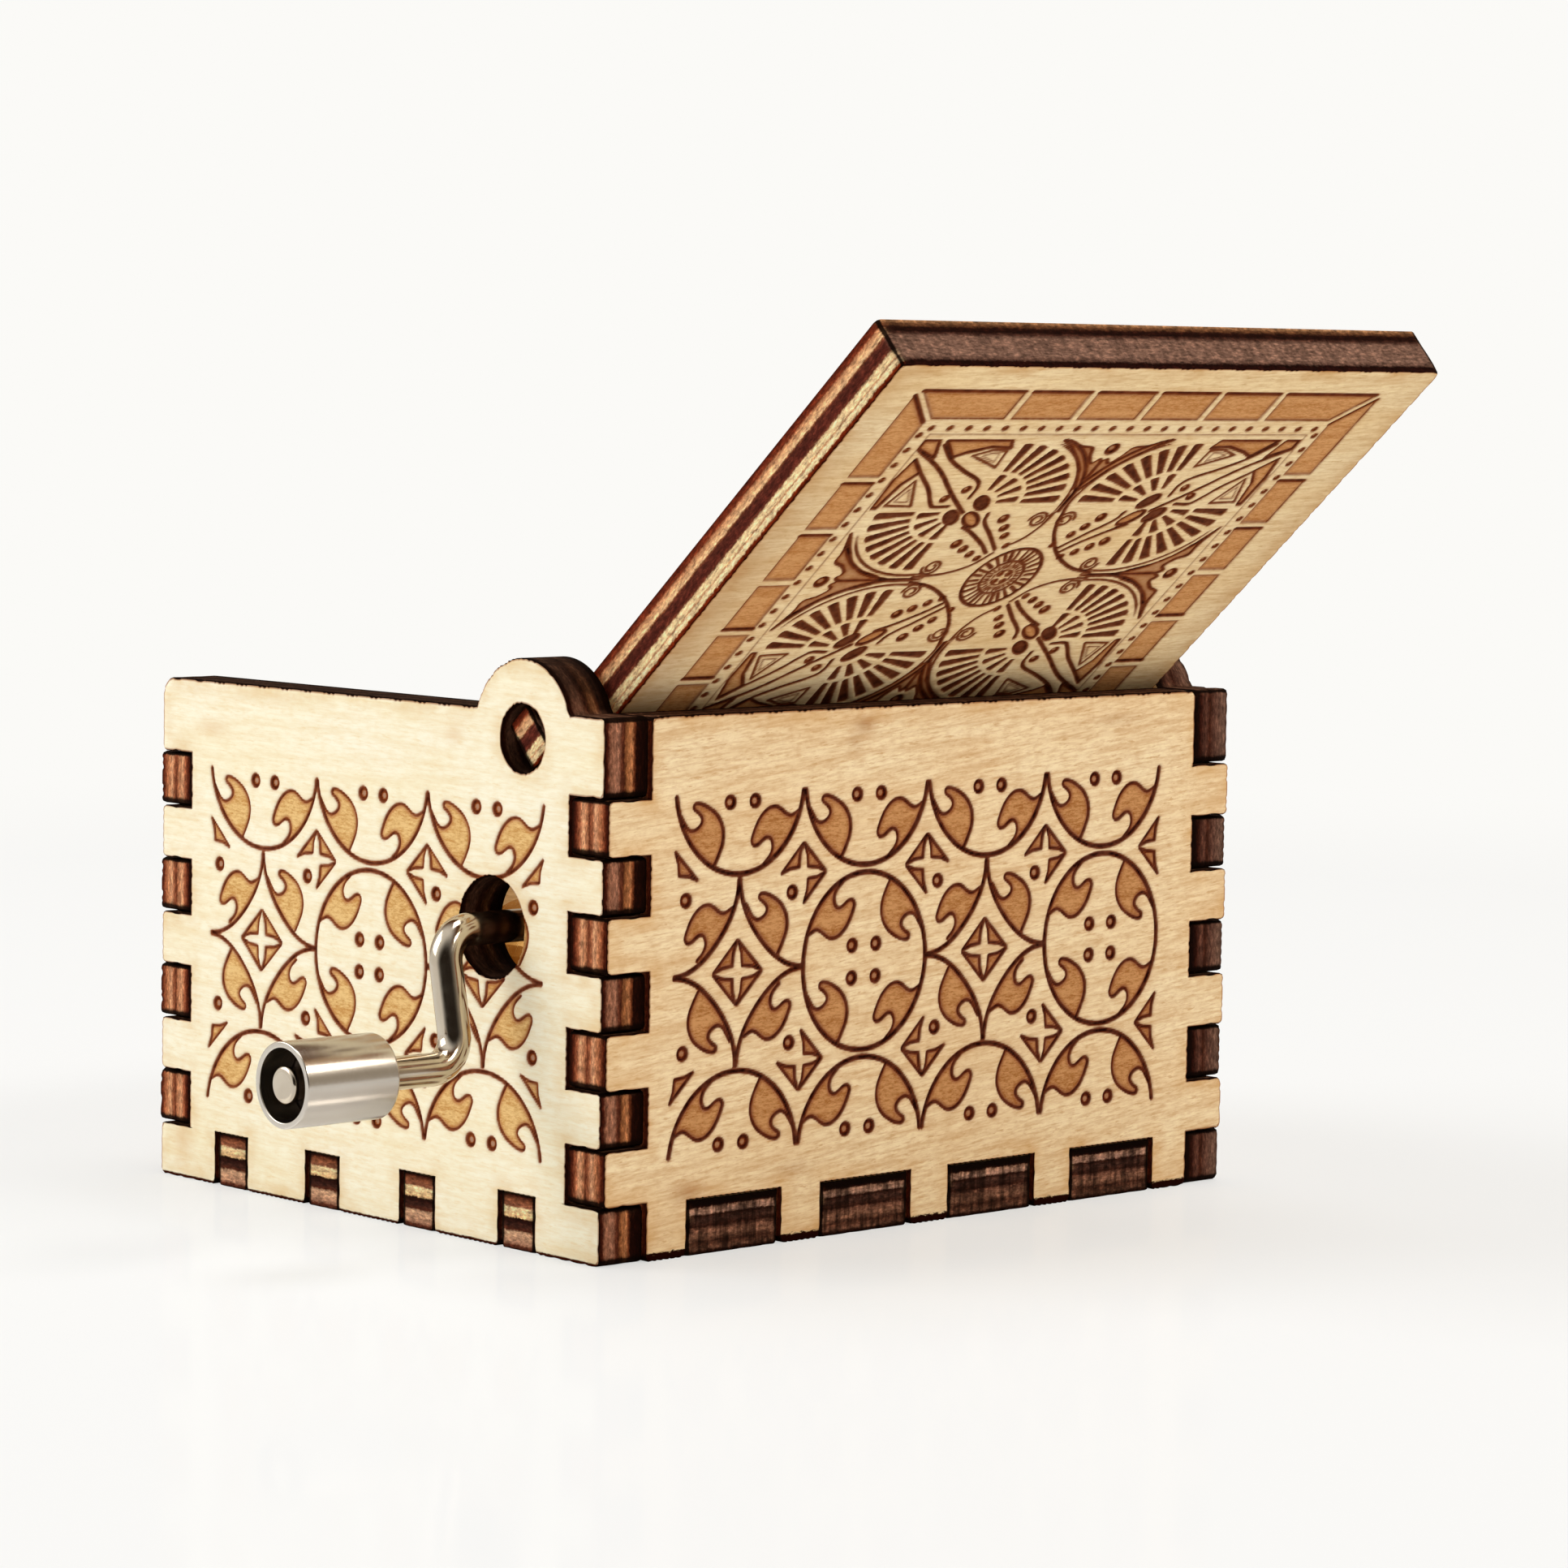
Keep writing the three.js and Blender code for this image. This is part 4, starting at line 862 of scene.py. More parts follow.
plywood = {
    # slant is that of the grain in radians, grain its strength, beside the share of brown beside a line, and
    # footDarkening the dark band along the foot of a panel
    "pale": {"light": "#FEFAE7", "mid": "#FDF6DA", "dark": "#EDD5A3", "toast": "#E0BA7C", "fill": "#ECC88A",
             "fillDark": "#CC9858", "halo": "#A8560E", "burn": "#702800", "deepBurn": "#3E1000", "beside": 0.24,
             "spot": "#D9A25C", "slant": 0.02, "grain": 0.6, "footDarkening": 0.35},
    "warm": {"light": "#FEEBC4", "mid": "#F8DEB3", "dark": "#D0A26E", "toast": "#D09A56", "fill": "#CE9864",
             "fillDark": "#A66C3A", "halo": "#84360C", "burn": "#561400", "deepBurn": "#200400", "beside": 0.22,
             "spot": "#A5662A", "slant": -0.09, "grain": 0.9, "footDarkening": 1.0},
    # the lid's spot colour is the painted shade of its margins
    "lid": {"light": "#FEE9BD", "mid": "#F7D9A5", "dark": "#CEA066", "toast": "#C68C48", "fill": "#D8A068",
            "fillDark": "#BC7E46", "halo": "#8E3E08", "burn": "#642000", "deepBurn": "#2A0700", "beside": 0.24,
            "spot": "#9C6230", "slant": -0.05, "grain": 0.7, "footDarkening": 0.0},
    # the inner faces are left unsanded and a little smoked, and are darker still as painted shade for the inside of
    # the box
    "inner": {"light": "#E6C694", "mid": "#D8B27A", "dark": "#B48450", "slant": -0.09, "grain": 0.9},
    "smoke": "#8C4416",
    # along the grain, across it, and through the sheet
    "layers": {"drift": ((0.035, 0.12, 0.1), 3, 0.6), "streak": ((0.1, 1.3, 1.3), 4, 0.6),
               "fibre": ((0.5, 4.2, 4.2), 4, 0.7), "fleck": ((0.7, 3.4, 3.4), 3, 0.6),
               "mottle": ((1.0, 2.2, 2.2), 3, 0.6)},
    "driftStops": [(0.34, 0.0), (0.66, 1.0)],
    # what each layer darkens, before the strength of the grain
    "grainStops": {"streak": [(0.45, 0.0), (0.7, 0.6)], "mottle": [(0.45, 0.0), (0.7, 0.4)],
                   "fibre": [(0.32, 0.7), (0.54, 0.0)], "fleck": [(0.6, 0.0), (0.7, 0.75)]},
    # along u, along v, and through the sheet
    "engraved": {"patch": ((0.22, 0.3, 0.3), 3, 0.6), "speck": ((2.0, 6.5, 6.5), 4, 0.7),
                 "uneven": ((1.1, 1.1, 1.1), 3, 0.6)},
    "patchStops": [(0.42, 0.05), (0.66, 0.58)],
    "edgeBurn": (0.02, 0.2, 0.75),   # mm from the cut where the scorch begins to fade and ends, and its strength
    "streakShare": 0.5,              # what the streaks add to the specks of an engraved floor
    "speckStops": [(0.6, 0.0), (0.85, 1.0)],
    "floorHaloAndShade": 0.95,             # brown beside a line on an engraved floor: halo, and painted shade along the floor's edges
    "pitBrown": 0.75,
    "unevenStops": [(0.3, 0.74), (0.62, 1.0)],
    "burnAt": (0.1, 0.7, 1.0),       # cover at which a line is halo, burn and deepBurn
    "coverStops": [(0.1, 0.0), (0.48, 0.92), (1.0, 1.0)],
    "foot": (0.7, 0.02, 0.1),        # mm that the dark band wanders up, and where it fades and ends
    "floorRough": 2.5,               # relief of a floor's specks, beside that of the grain
    "bump": (0.5, 0.03),             # strength, and height in mm
    "roughness": 0.74,
    "specular": 0.02,
}

cutEdge = {
    # tones through the thickness, from the outer face in: browned layers between charred glue lines
    "plies": [(0.0, "#3A120A"), (0.08, "#54200F"), (0.14, "#904E32"), (0.24, "#BC7A54"), (0.34, "#D69A74"),
              (0.42, "#9C5C3E"), (0.5, "#6C3420"), (0.56, "#AC6E4C"), (0.68, "#DA9C74"), (0.77, "#A05A3C"),
              (0.86, "#562212"), (0.93, "#260A03"), (1.0, "#120401")],
    # the two sides' plies show on the shaded back face: darker than the back's, partly char and partly painted shade
    "sidePliesWithShade": [(0.0, "#200803"), (0.07, "#44190D"), (0.15, "#8C5C46"), (0.3, "#966650"), (0.38, "#5C3020"),
                  (0.44, "#482012"), (0.5, "#84502F"), (0.62, "#AC7048"), (0.67, "#6A361E"), (0.72, "#1E0803"),
                  (1.0, "#0C0301")],
    "farPliesWithShade": [(0.0, "#3A1E16"), (0.1, "#745648"), (0.35, "#644236"), (0.5, "#401E12"), (0.6, "#5E3A2E"),
                 (0.75, "#32130B"), (0.84, "#160603"), (1.0, "#0C0301")],
    "tabPlies": [(0.0, "#2A0E07"), (0.07, "#6A3828"), (0.13, "#C08E72"), (0.31, "#D8AA88"), (0.36, "#54281A"),
                 (0.43, "#3E221A"), (0.52, "#2A100A"), (0.57, "#1E0A05"), (0.6, "#E4B684"), (0.75, "#F4D2A0"),
                 (0.79, "#8E5840"), (0.9, "#7E4830"), (0.96, "#3A160A"), (1.0, "#140502")],
    "lidPlies": [(0.0, "#501204"), (0.07, "#7A2A0E"), (0.1, "#F2D09E"), (0.17, "#F4D6A8"), (0.2, "#B8805A"),
                 (0.23, "#EAC898"), (0.33, "#F0CE9C"), (0.37, "#6E3828"), (0.43, "#502018"), (0.61, "#56281E"),
                 (0.64, "#7E462C"), (0.67, "#EABA8C"), (0.75, "#DCA678"), (0.82, "#BC805A"), (0.86, "#78341E"),
                 (0.95, "#5A1E0E"), (1.0, "#3A1006")],
    # edges along the grain: sooted all over, black at both arrises
    "sooted": [(0.0, "#180803"), (0.08, "#2C140B"), (0.14, "#70503F"), (0.42, "#604030"), (0.5, "#40241A"),
               (0.6, "#785440"), (0.8, "#5C3C2E"), (0.86, "#200D07"), (1.0, "#120602")],
    "tabSooted": [(0.0, "#0E0301"), (0.05, "#3A1C12"), (0.1, "#8A5E4A"), (0.16, "#7A4E3C"), (0.22, "#5A3628"),
                  (0.34, "#A8765E"), (0.44, "#946450"), (0.5, "#44241A"), (0.62, "#583A30"), (0.7, "#3A1A10"),
                  (0.74, "#CC9C86"), (0.83, "#BC8C74"), (0.86, "#30120A"), (0.89, "#0C0301"), (1.0, "#0A0200")],
    "lidSooted": [(0.0, "#280C08"), (0.1, "#200A06"), (0.15, "#6A4C40"), (0.24, "#866556"), (0.62, "#826152"),
                  (0.7, "#4A2C22"), (0.75, "#200A05"), (0.83, "#2C120A"), (0.9, "#6E462C"), (1.0, "#B88860")],
    "soot": "#0E0401",
    "ash": "#CCCAC6",
    "thickness": 4.0,
    # along the edge, and through the thickness
    "layers": {"beam": ((1.7, 0.2, 1.0), 3, 0.6), "ply": ((0.35, 2.6, 1.0), 4, 0.65),
               "wander": ((0.8, 1.4, 1.0), 4, 0.65), "ragged": ((4.0, 4.0, 1.0), 2, 0.6),
               "cloud": ((0.8, 0.8, 1.0), 4, 0.65)},
    "grain": ((1.7, 1.7, 4.5), 5, 0.75),
    "bandShift": (0.08, 0.06, -0.07),   # how far the glue lines wander: by two layers, and the mean of those back
    "ashStops": [(0.48, 0.0), (0.62, 0.9)],
    "grainSoot": [(0.36, 0.55), (0.46, 0.0)],
    "streakSoot": [(0.4, 1.0), (0.58, 0.1)],
    "cloudSoot": [(0.4, 0.1), (0.62, 1.0)],
    "holeFrom": (3.5, 5.0),             # mm from every corner, where a hole's wall darkens
    "cornerSoot": (0.55, 0.9),          # mm from a tooth's ends that is black: char, and wider at the right or lower end as painted shadow of the gap
    "cornerSure": 0.68,                 # share of that which is black throughout
    "cornerWander": 0.5,
    "cornerShare": 0.96,
    "bump": (0.8, 0.08),                # strength, and height in mm
    "roughness": 0.75,
    "specular": 0.02,
}


def woodGrain(add, wood):
    # all on the sheet's millimetres: light and mid mixed by a broad drift, and then darkened layer by layer, by the
    # layer's stops times the strength of the grain. The relief is fibres plus mottle.
    place = add("ShaderNodeAttribute", attribute_name="place")
    turned = add("ShaderNodeMapping", {"Vector": place, "Rotation": (0, 0, wood["slant"])})
    layers = {}
    for name, (scale, detail, roughness) in plywood["layers"].items():
        at = add("ShaderNodeMapping", {"Vector": turned, "Scale": scale})
        layers[name] = add("ShaderNodeTexNoise", {"Vector": at, "Scale": 1.0, "Detail": detail,
                                                  "Roughness": roughness})
    drift = add("ShaderNodeValToRGB", {"Fac": layers["drift"]}, plywood["driftStops"])
    base = add("ShaderNodeMix", {0: drift, 6: wood["light"], 7: wood["mid"]}, data_type="RGBA")
    for name, stops in plywood["grainStops"].items():
        share = add("ShaderNodeValToRGB", {"Fac": layers[name]}, [(at, value * wood["grain"]) for at, value in stops])
        base = add("ShaderNodeMix", {0: share, 6: base, 7: wood["dark"]}, data_type="RGBA")
    relief = add("ShaderNodeMath", {0: layers["fibre"], 1: layers["mottle"]}, operation="ADD")
    return base, relief, place, layers["streak"]


def matteSurface(add, base, relief, spec):
    # rough and hardly shining, with the relief times its height as a bump
    strength, height = spec["bump"]
    bump = add("ShaderNodeBump", {"Strength": strength, "Distance": height * mm, "Height": relief})
    shader = add("ShaderNodeBsdfPrincipled", {"Base Color": base, "Roughness": spec["roughness"],
                                              "Specular IOR Level": spec["specular"], "Normal": bump})
    add("ShaderNodeOutputMaterial", {"Surface": shader})


def woodInside(name, tone):
    # plain inner face: the grain alone
    material, add = newMaterial(name)
    base, relief = woodGrain(add, plywood[tone])[:2]
    matteSurface(add, base, relief, plywood)
    return material


def woodFace(name, tone):
    # engraved outer face. marks holds how far a line and a browned floor cover, and the distance from the cut edges;
    # pits holds the same for a pit, the glow beside a line and a dark patch, which is a stain on the panels and
    # painted shade on the lid's margins. Each share below mixes its colour over what lies under it.
    material, add = newMaterial(name)
    wood = plywood[tone]
    base, relief, place, streak = woodGrain(add, wood)
    line, fill, reach = add("ShaderNodeSeparateXYZ", {0: add("ShaderNodeAttribute", attribute_name="marks")}).outputs
    pit, glow, spot = add("ShaderNodeSeparateXYZ", {0: add("ShaderNodeAttribute", attribute_name="pits")}).outputs
    layers = {}
    for layer, (scale, detail, roughness) in plywood["engraved"].items():
        at = add("ShaderNodeMapping", {"Vector": place, "Scale": scale})
        layers[layer] = add("ShaderNodeTexNoise", {"Vector": at, "Scale": 1.0, "Detail": detail,
                                                   "Roughness": roughness})
    # smoke stains beside the cuts, in patches
    near = add("ShaderNodeMapRange", {"Value": reach, "From Min": 0.0, "From Max": sheets["scorchReach"],
                                      "To Min": 1.0, "To Max": 0.0}, interpolation_type="SMOOTHSTEP")
    patch = add("ShaderNodeValToRGB", {"Fac": layers["patch"]}, plywood["patchStops"])
    stain = add("ShaderNodeMath", {0: near, 1: patch}, operation="MULTIPLY")
    fadeFrom, fadeTo, scorch = plywood["edgeBurn"]
    edgeBurn = add("ShaderNodeMapRange", {"Value": reach, "From Min": fadeFrom, "From Max": fadeTo, "To Min": scorch,
                                          "To Max": 0.0}, interpolation_type="SMOOTHSTEP")
    # shallow engraving leaves a speckled brown floor
    speck = add("ShaderNodeMath", {0: streak, 1: plywood["streakShare"], 2: layers["speck"]},
                operation="MULTIPLY_ADD")
    speckled = add("ShaderNodeValToRGB", {"Fac": speck}, plywood["speckStops"])
    browned = add("ShaderNodeMix", {0: speckled, 6: wood["fillDark"], 7: wood["fill"]}, data_type="RGBA")
    # brown beside the lines: laser halo, made stronger on the engraved floors as painted shade along their edges; and
    # brown in the pits
    strength = add("ShaderNodeMapRange", {"Value": fill, "To Min": wood["beside"], "To Max": plywood["floorHaloAndShade"]})
    glowing = add("ShaderNodeMath", {0: glow, 1: strength}, operation="MULTIPLY")
    pitted = add("ShaderNodeMath", {0: pit, 1: plywood["pitBrown"]}, operation="MULTIPLY")
    # burnt lines: brown at the edge of the beam, nearly black in the middle, uneven along the line
    uneven = add("ShaderNodeValToRGB", {"Fac": layers["uneven"]}, plywood["unevenStops"])
    burnt = add("ShaderNodeMath", {0: line, 1: uneven}, operation="MULTIPLY")
    tones = [wood["halo"], wood["burn"], wood["deepBurn"]]
    burntColour = add("ShaderNodeValToRGB", {"Fac": burnt}, list(zip(plywood["burnAt"], tones)))
    cover = add("ShaderNodeValToRGB", {"Fac": burnt}, plywood["coverStops"])
    # a dark band along the foot of a panel, where it stands on the table: its height less what the specks take off
    wander, fadeFrom, fadeTo = plywood["foot"]
    height = add("ShaderNodeSeparateXYZ", {0: place}).outputs["Y"]
    height = add("ShaderNodeMath", {0: speck, 1: -wander * wood["footDarkening"], 2: height}, operation="MULTIPLY_ADD")
    foot = add("ShaderNodeMapRange", {"Value": height, "From Min": fadeFrom, "From Max": fadeTo,
                                      "To Min": float(wood["footDarkening"] > 0), "To Max": 0.0})
    for share, colour in ((stain, wood["toast"]), (edgeBurn, plywood["smoke"]), (spot, wood["spot"]),
                          (fill, browned), (glowing, wood["halo"]), (pitted, plywood["smoke"]),
                          (cover, burntColour), (foot, wood["deepBurn"])):
        base = add("ShaderNodeMix", {0: share, 6: base, 7: colour}, data_type="RGBA")
    rough = add("ShaderNodeMath", {0: speck, 1: fill}, operation="MULTIPLY")
    relief = add("ShaderNodeMath", {0: rough, 1: plywood["floorRough"], 2: relief}, operation="MULTIPLY_ADD")
    matteSurface(add, base, relief, plywood)
    return material


def woodEdge(name, plies, sooted, sootShort, sootLong, holeDarkening):
    # laser-cut edge. marks x says how far the edge looks along u: those edges show their plies, streaked along the
    # plies, and the others are sooted over, streaked along the beam. marks y is 1 towards a tooth's right or lower
    # end, which gets a wider black: char, and painted shadow of the gap between the panels. marks z is the distance
    # from a corner, which is large only round a hole.
    material, add = newMaterial(name)
    place = add("ShaderNodeAttribute", attribute_name="place")
    u, v, depth = add("ShaderNodeSeparateXYZ", {0: place}).outputs
    endGrain, charAndGapShadowEnd, corner = add("ShaderNodeSeparateXYZ",
                                    {0: add("ShaderNodeAttribute", attribute_name="marks")}).outputs
    run = add("ShaderNodeMath", {0: u, 1: v}, operation="ADD")
    flat = add("ShaderNodeCombineXYZ", {"X": run, "Y": depth})
    layers = {}
    for layer, (scale, detail, roughness) in dict(cutEdge["layers"], grain=cutEdge["grain"]).items():
        at = add("ShaderNodeMapping", {"Vector": place if layer == "grain" else flat, "Scale": scale})
        layers[layer] = add("ShaderNodeTexNoise", {"Vector": at, "Scale": 1.0, "Detail": detail,
                                                   "Roughness": roughness})
    grain = layers["grain"]
    streak = add("ShaderNodeMix", {0: endGrain, 2: layers["beam"], 3: layers["ply"]}, data_type="FLOAT")
    # bands: the depth as a share of the thickness, moved by two layers
    byWander, byRagged, back = cutEdge["bandShift"]
    shift = add("ShaderNodeMath", {0: layers["wander"], 1: byWander, 2: back}, operation="MULTIPLY_ADD")
    shift = add("ShaderNodeMath", {0: layers["ragged"], 1: byRagged, 2: shift}, operation="MULTIPLY_ADD")
    band = add("ShaderNodeMath", {0: depth, 1: 1 / cutEdge["thickness"], 2: shift}, operation="MULTIPLY_ADD")
    layered = add("ShaderNodeValToRGB", {"Fac": band}, cutEdge[plies])
    blackened = add("ShaderNodeValToRGB", {"Fac": band}, cutEdge[sooted])
    base = add("ShaderNodeMix", {0: endGrain, 6: blackened, 7: layered}, data_type="RGBA")
    # ash lightens the open grain, and leaves the black bands black
    ash = add("ShaderNodeValToRGB", {"Fac": grain}, cutEdge["ashStops"])
    base = add("ShaderNodeMix", {0: ash, 6: base, 7: cutEdge["ash"]}, data_type="RGBA", blend_type="DODGE")
    # soot in the grain, in streaks and clouds; darkening in the holes; and black at the ends of the teeth, char with
    # painted gap shadow at the right or lower end
    shares = [add("ShaderNodeValToRGB", {"Fac": grain}, cutEdge["grainSoot"])]
    soot = add("ShaderNodeMapRange", {"Value": endGrain, "To Min": sootLong, "To Max": sootShort})
    for texture, stops in ((streak, cutEdge["streakSoot"]), (layers["cloud"], cutEdge["cloudSoot"])):
        much = add("ShaderNodeValToRGB", {"Fac": texture}, stops)
        shares.append(add("ShaderNodeMath", {0: soot, 1: much}, operation="MULTIPLY"))
    low, high = cutEdge["holeFrom"]
    shares.append(add("ShaderNodeMapRange", {"Value": corner, "From Min": low, "From Max": high,
                                             "To Max": holeDarkening}))
    near, far = cutEdge["cornerSoot"]
    ends = add("ShaderNodeMapRange", {"Value": charAndGapShadowEnd, "To Min": near, "To Max": far})
    sure = add("ShaderNodeMath", {0: ends, 1: cutEdge["cornerSure"]}, operation="MULTIPLY")
    uneven = add("ShaderNodeMath", {0: layers["wander"], 1: cutEdge["cornerWander"], 2: corner},
                 operation="MULTIPLY_ADD")
    shares.append(add("ShaderNodeMapRange", {"Value": uneven, "From Min": sure, "From Max": ends,
                                             "To Min": cutEdge["cornerShare"], "To Max": 0.0},
                      interpolation_type="SMOOTHSTEP"))
    for share in shares:
        base = add("ShaderNodeMix", {0: share, 6: base, 7: cutEdge["soot"]}, data_type="RGBA")
    relief = add("ShaderNodeMath", {0: streak, 1: grain}, operation="ADD")
    matteSurface(add, base, relief, cutEdge)
    return material


paleFace = woodFace("basswood ply, sanded and engraved, pale", "pale")
warmFace = woodFace("basswood ply, sanded and engraved, warm", "warm")
lidFace = woodFace("basswood ply, sanded and engraved, lid", "lid")
# the inner faces: a little smoke, and painted shade for the inside of the box
innerFaceWithShade = woodInside("basswood ply, unsanded inner face", "inner")
edgeKinds = {
    # name, tones of the edges across the grain and along it, soot on either, and the darkening in the holes
    # the sides' tooth ends are darker, partly char and partly painted shade of the back face they show on
    "crankSide": ("basswood ply, laser cut, sooted and darker as painted shade", "sidePliesWithShade", "sooted", 0.08, 0.55, 0.7),
    "farSide": ("basswood ply, laser cut, charred", "farPliesWithShade", "sooted", 0.25, 0.55, 0.0),
    "panel": ("basswood ply, laser cut, browned", "plies", "sooted", 0.16, 0.55, 0.0),
    "tab": ("basswood ply, laser cut, tabs", "tabPlies", "tabSooted", 0.2, 0.75, 0.0),
    "lid": ("basswood ply, laser cut, lid", "lidPlies", "lidSooted", 0.12, 0.3, 0.0),
}
edges = {kind: woodEdge(*values) for kind, values in edgeKinds.items()}
print("wood made")

for name, node, slot, towards, pattern, face, edge in (
        ("crankSideSheet", "crank_side_panel", "plywood_pale", (1, 0, 0), "side", paleFace, "crankSide"),
        ("farSideSheet", "far_side_panel", "plywood", (-1, 0, 0), "side", warmFace, "farSide"),
        ("backSheet", "back_panel", "plywood", (0, 1, 0), "back", warmFace, "panel"),
        ("frontSheet", "front_panel", "plywood", (0, -1, 0), "back", warmFace, "panel")):
    drawn = facePatterns[pattern]
    makeSheet(name, node, "case", towards, upZ, drawn["area"], partial(panelOrnament, spec=drawn),
              [face, edges[edge], innerFaceWithShade])
makeSheet("bottomSheet", "bottom_panel", "case", (0, 0, -1), (0, 1, 0), (0, 0, 0, 0), None,
          [innerFaceWithShade, edges["tab"], innerFaceWithShade])
makeSheet("lidSheet", "lid", "lid_body", (0, 0.66, -0.75), upZ, lidPattern["area"],
          partial(lidOrnament, spec=lidPattern), [lidFace, edges["lid"], innerFaceWithShade], origin=lidPattern["hinge"],
          spec=dict(sheets, fineCell=lidPattern["cell"]))


# Crank and knob, in mm. The crank's own frame has its axis along x and its arm straight down.

crankSizes = {
    "axis": (14.0, 23.0),      # y, z
    "armTurn": 11.4,           # degrees, from straight down towards the back
    "armLength": 9.7,
    "armX": 36.5,
    "start": 14.5,
    "end": 52.0,
    "rod": 1.2,                # radius
    "bend": 2.4,
    # the peened end that holds the knob: distances before the end, and radii
    "head": [(0.6, 1.2), (0.3, 1.34), (0.22, 1.34), (0.1, 1.29), (0.02, 1.14), (0.0, 0.89), (0.0, 0.02)],
    "sides": 64,
    "bendSteps": 24,
    "sharpAngle": 50,
}
knobSizes = {
    "radius": 3.05,
    "rim": 52.05,
    "length": 8.0,
    "recess": 2.6,
    "recessDepth": 3.0,
    "bore": 1.27,
    "rounds": (0.18, 0.108, 0.1, 0.25),   # rear edge, rim, mouth of the recess, its floor
    "paintedShadeFrom": 0.12,         # behind the rim, where the bore's painted shade begins
    "sides": 128,
    "sharpAngle": 35,
}


def roundCorners(profile, radii, steps=5):
    # each corner of an open profile is replaced by a quadratic curve, which begins and ends a radius from it
    profile = np.asarray(profile, float)
    corners = profile[1:-1, None]
    before = corners + unit(profile[:-2] - profile[1:-1])[:, None] * np.reshape(radii, (-1, 1, 1))
    after = corners + unit(profile[2:] - profile[1:-1])[:, None] * np.reshape(radii, (-1, 1, 1))
    t = np.linspace(0, 1, steps + 1)[:, None]
    curves = (1 - t) ** 2 * before + 2 * t * (1 - t) * corners + t ** 2 * after
    return np.vstack([profile[:1], curves.reshape(-1, 2), profile[-1:]])


def closedRings(rings, sides, closedLoop=False):
    # quads between neighbouring rings of the same number of points
    i, j = np.meshgrid(np.arange(rings if closedLoop else rings - 1), np.arange(sides), indexing="ij")
    nextI, nextJ = (i + 1) % rings, (j + 1) % sides
    return np.stack([i * sides + j, i * sides + nextJ, nextI * sides + nextJ, nextI * sides + j], -1).reshape(-1, 4)


def onCrank(x, y, z):
    # from the crank's own frame to the scene, in metres: turned about x by the arm's angle
    turn = np.radians(crankSizes["armTurn"])
    axisY, axisZ = crankSizes["axis"]
    return np.stack([x, axisY + y * np.cos(turn) - z * np.sin(turn),
                     axisZ + y * np.sin(turn) + z * np.cos(turn)], -1) * mm


def makeRod(spec, material):
    # a circle carried along the bent path, whose rows are x, z and the slant there: straight, quarter turn down,
    # arm, quarter turn out, straight, and the head
    steps = np.linspace(0, np.pi / 2, spec["bendSteps"])
    bend, armX, drop, sides = spec["bend"], spec["armX"], spec["armLength"], spec["sides"]
    down = np.stack([armX - bend * (1 - np.sin(steps)), -bend * (1 - np.cos(steps)), steps], 1)
    out = down[::-1] * (-1, -1, 1) + (2 * armX, -drop, 0)
    head = [(spec["end"] - before, radius) for before, radius in spec["head"]]
    path = np.vstack([[(spec["start"], 0, 0)], down, out, [(x, -drop, 0) for x, radius in head]])
    rings = len(path)
    radius = np.concatenate([np.full(rings - len(head), spec["rod"]), [radius for x, radius in head]])
    angle = np.linspace(0, 2 * np.pi, sides, endpoint=False)
    reach = radius[:, None] * np.sin(angle)
    x = path[:, 0, None] + reach * np.sin(path[:, 2, None])
    z = path[:, 1, None] + reach * np.cos(path[:, 2, None])
    points = onCrank(x, radius[:, None] * np.cos(angle), z).reshape(-1, 3)
    ends = [list(range(sides))[::-1], list(range((rings - 1) * sides, rings * sides))]
    piece = makeMesh("crankRod", points, closedRings(rings, sides).tolist() + ends, [material])
    smoothShade(piece, spec["sharpAngle"])
    run = np.concatenate([[0], np.cumsum(np.hypot(*np.diff(path[:, :2], axis=0).T))])
    addVectors(piece, "turning", np.stack(np.broadcast_arrays(run[:, None], radius[:, None], angle), -1))
    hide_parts("crank_rod")
    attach(piece, "crank")


def makeKnob(spec, material, shadedBoreMaterial):
    # a closed profile of distance along the axis and radius, turned about the knob's axis
    rim, recess, bore = spec["rim"], spec["recess"], spec["bore"]
    rear, floor = rim - spec["length"], rim - spec["recessDepth"]
    profile = [(rear, bore), (rear, spec["radius"]), (rim, spec["radius"]), (rim, recess), (floor, recess),
               (floor, bore)]
    line = roundCorners(profile, spec["rounds"])
    angle = np.linspace(0, 2 * np.pi, spec["sides"], endpoint=False)
    x = np.broadcast_to(line[:, :1], (len(line), spec["sides"]))
    points = onCrank(x, line[:, 1:] * np.cos(angle), line[:, 1:] * np.sin(angle) - crankSizes["armLength"])
    faces = closedRings(len(line), spec["sides"], closedLoop=True).tolist()
    piece = makeMesh("knobSleeve", points.reshape(-1, 3), faces, [material, shadedBoreMaterial])
    # the bore and the recess's floor get the dark metal: painted shade, as little light reaches in
    paintedShadeInBore = (line[:, 1] < recess + tiny) & (line[:, 0] < rim - spec["paintedShadeFrom"])
    piece.data.polygons.foreach_set("material_index", np.repeat(paintedShadeInBore.astype(int), spec["sides"]))
    smoothShade(piece, spec["sharpAngle"])
    addVectors(piece, "turning", np.stack(np.broadcast_arrays(line[:, :1], line[:, 1:], angle), -1))
    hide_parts("knob_sleeve")
    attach(piece, "knob")


# Metals, bare or plated. base and worn are the tones between which the surface drifts, grain is the width of its
# unevenness in mm and bump its height. lines are the tool lines: repeats along each axis, share of them in the
# height, and the attribute that they follow: for a turned piece millimetres along and across its axis and the angle
# round it, and for the others their place in metres.

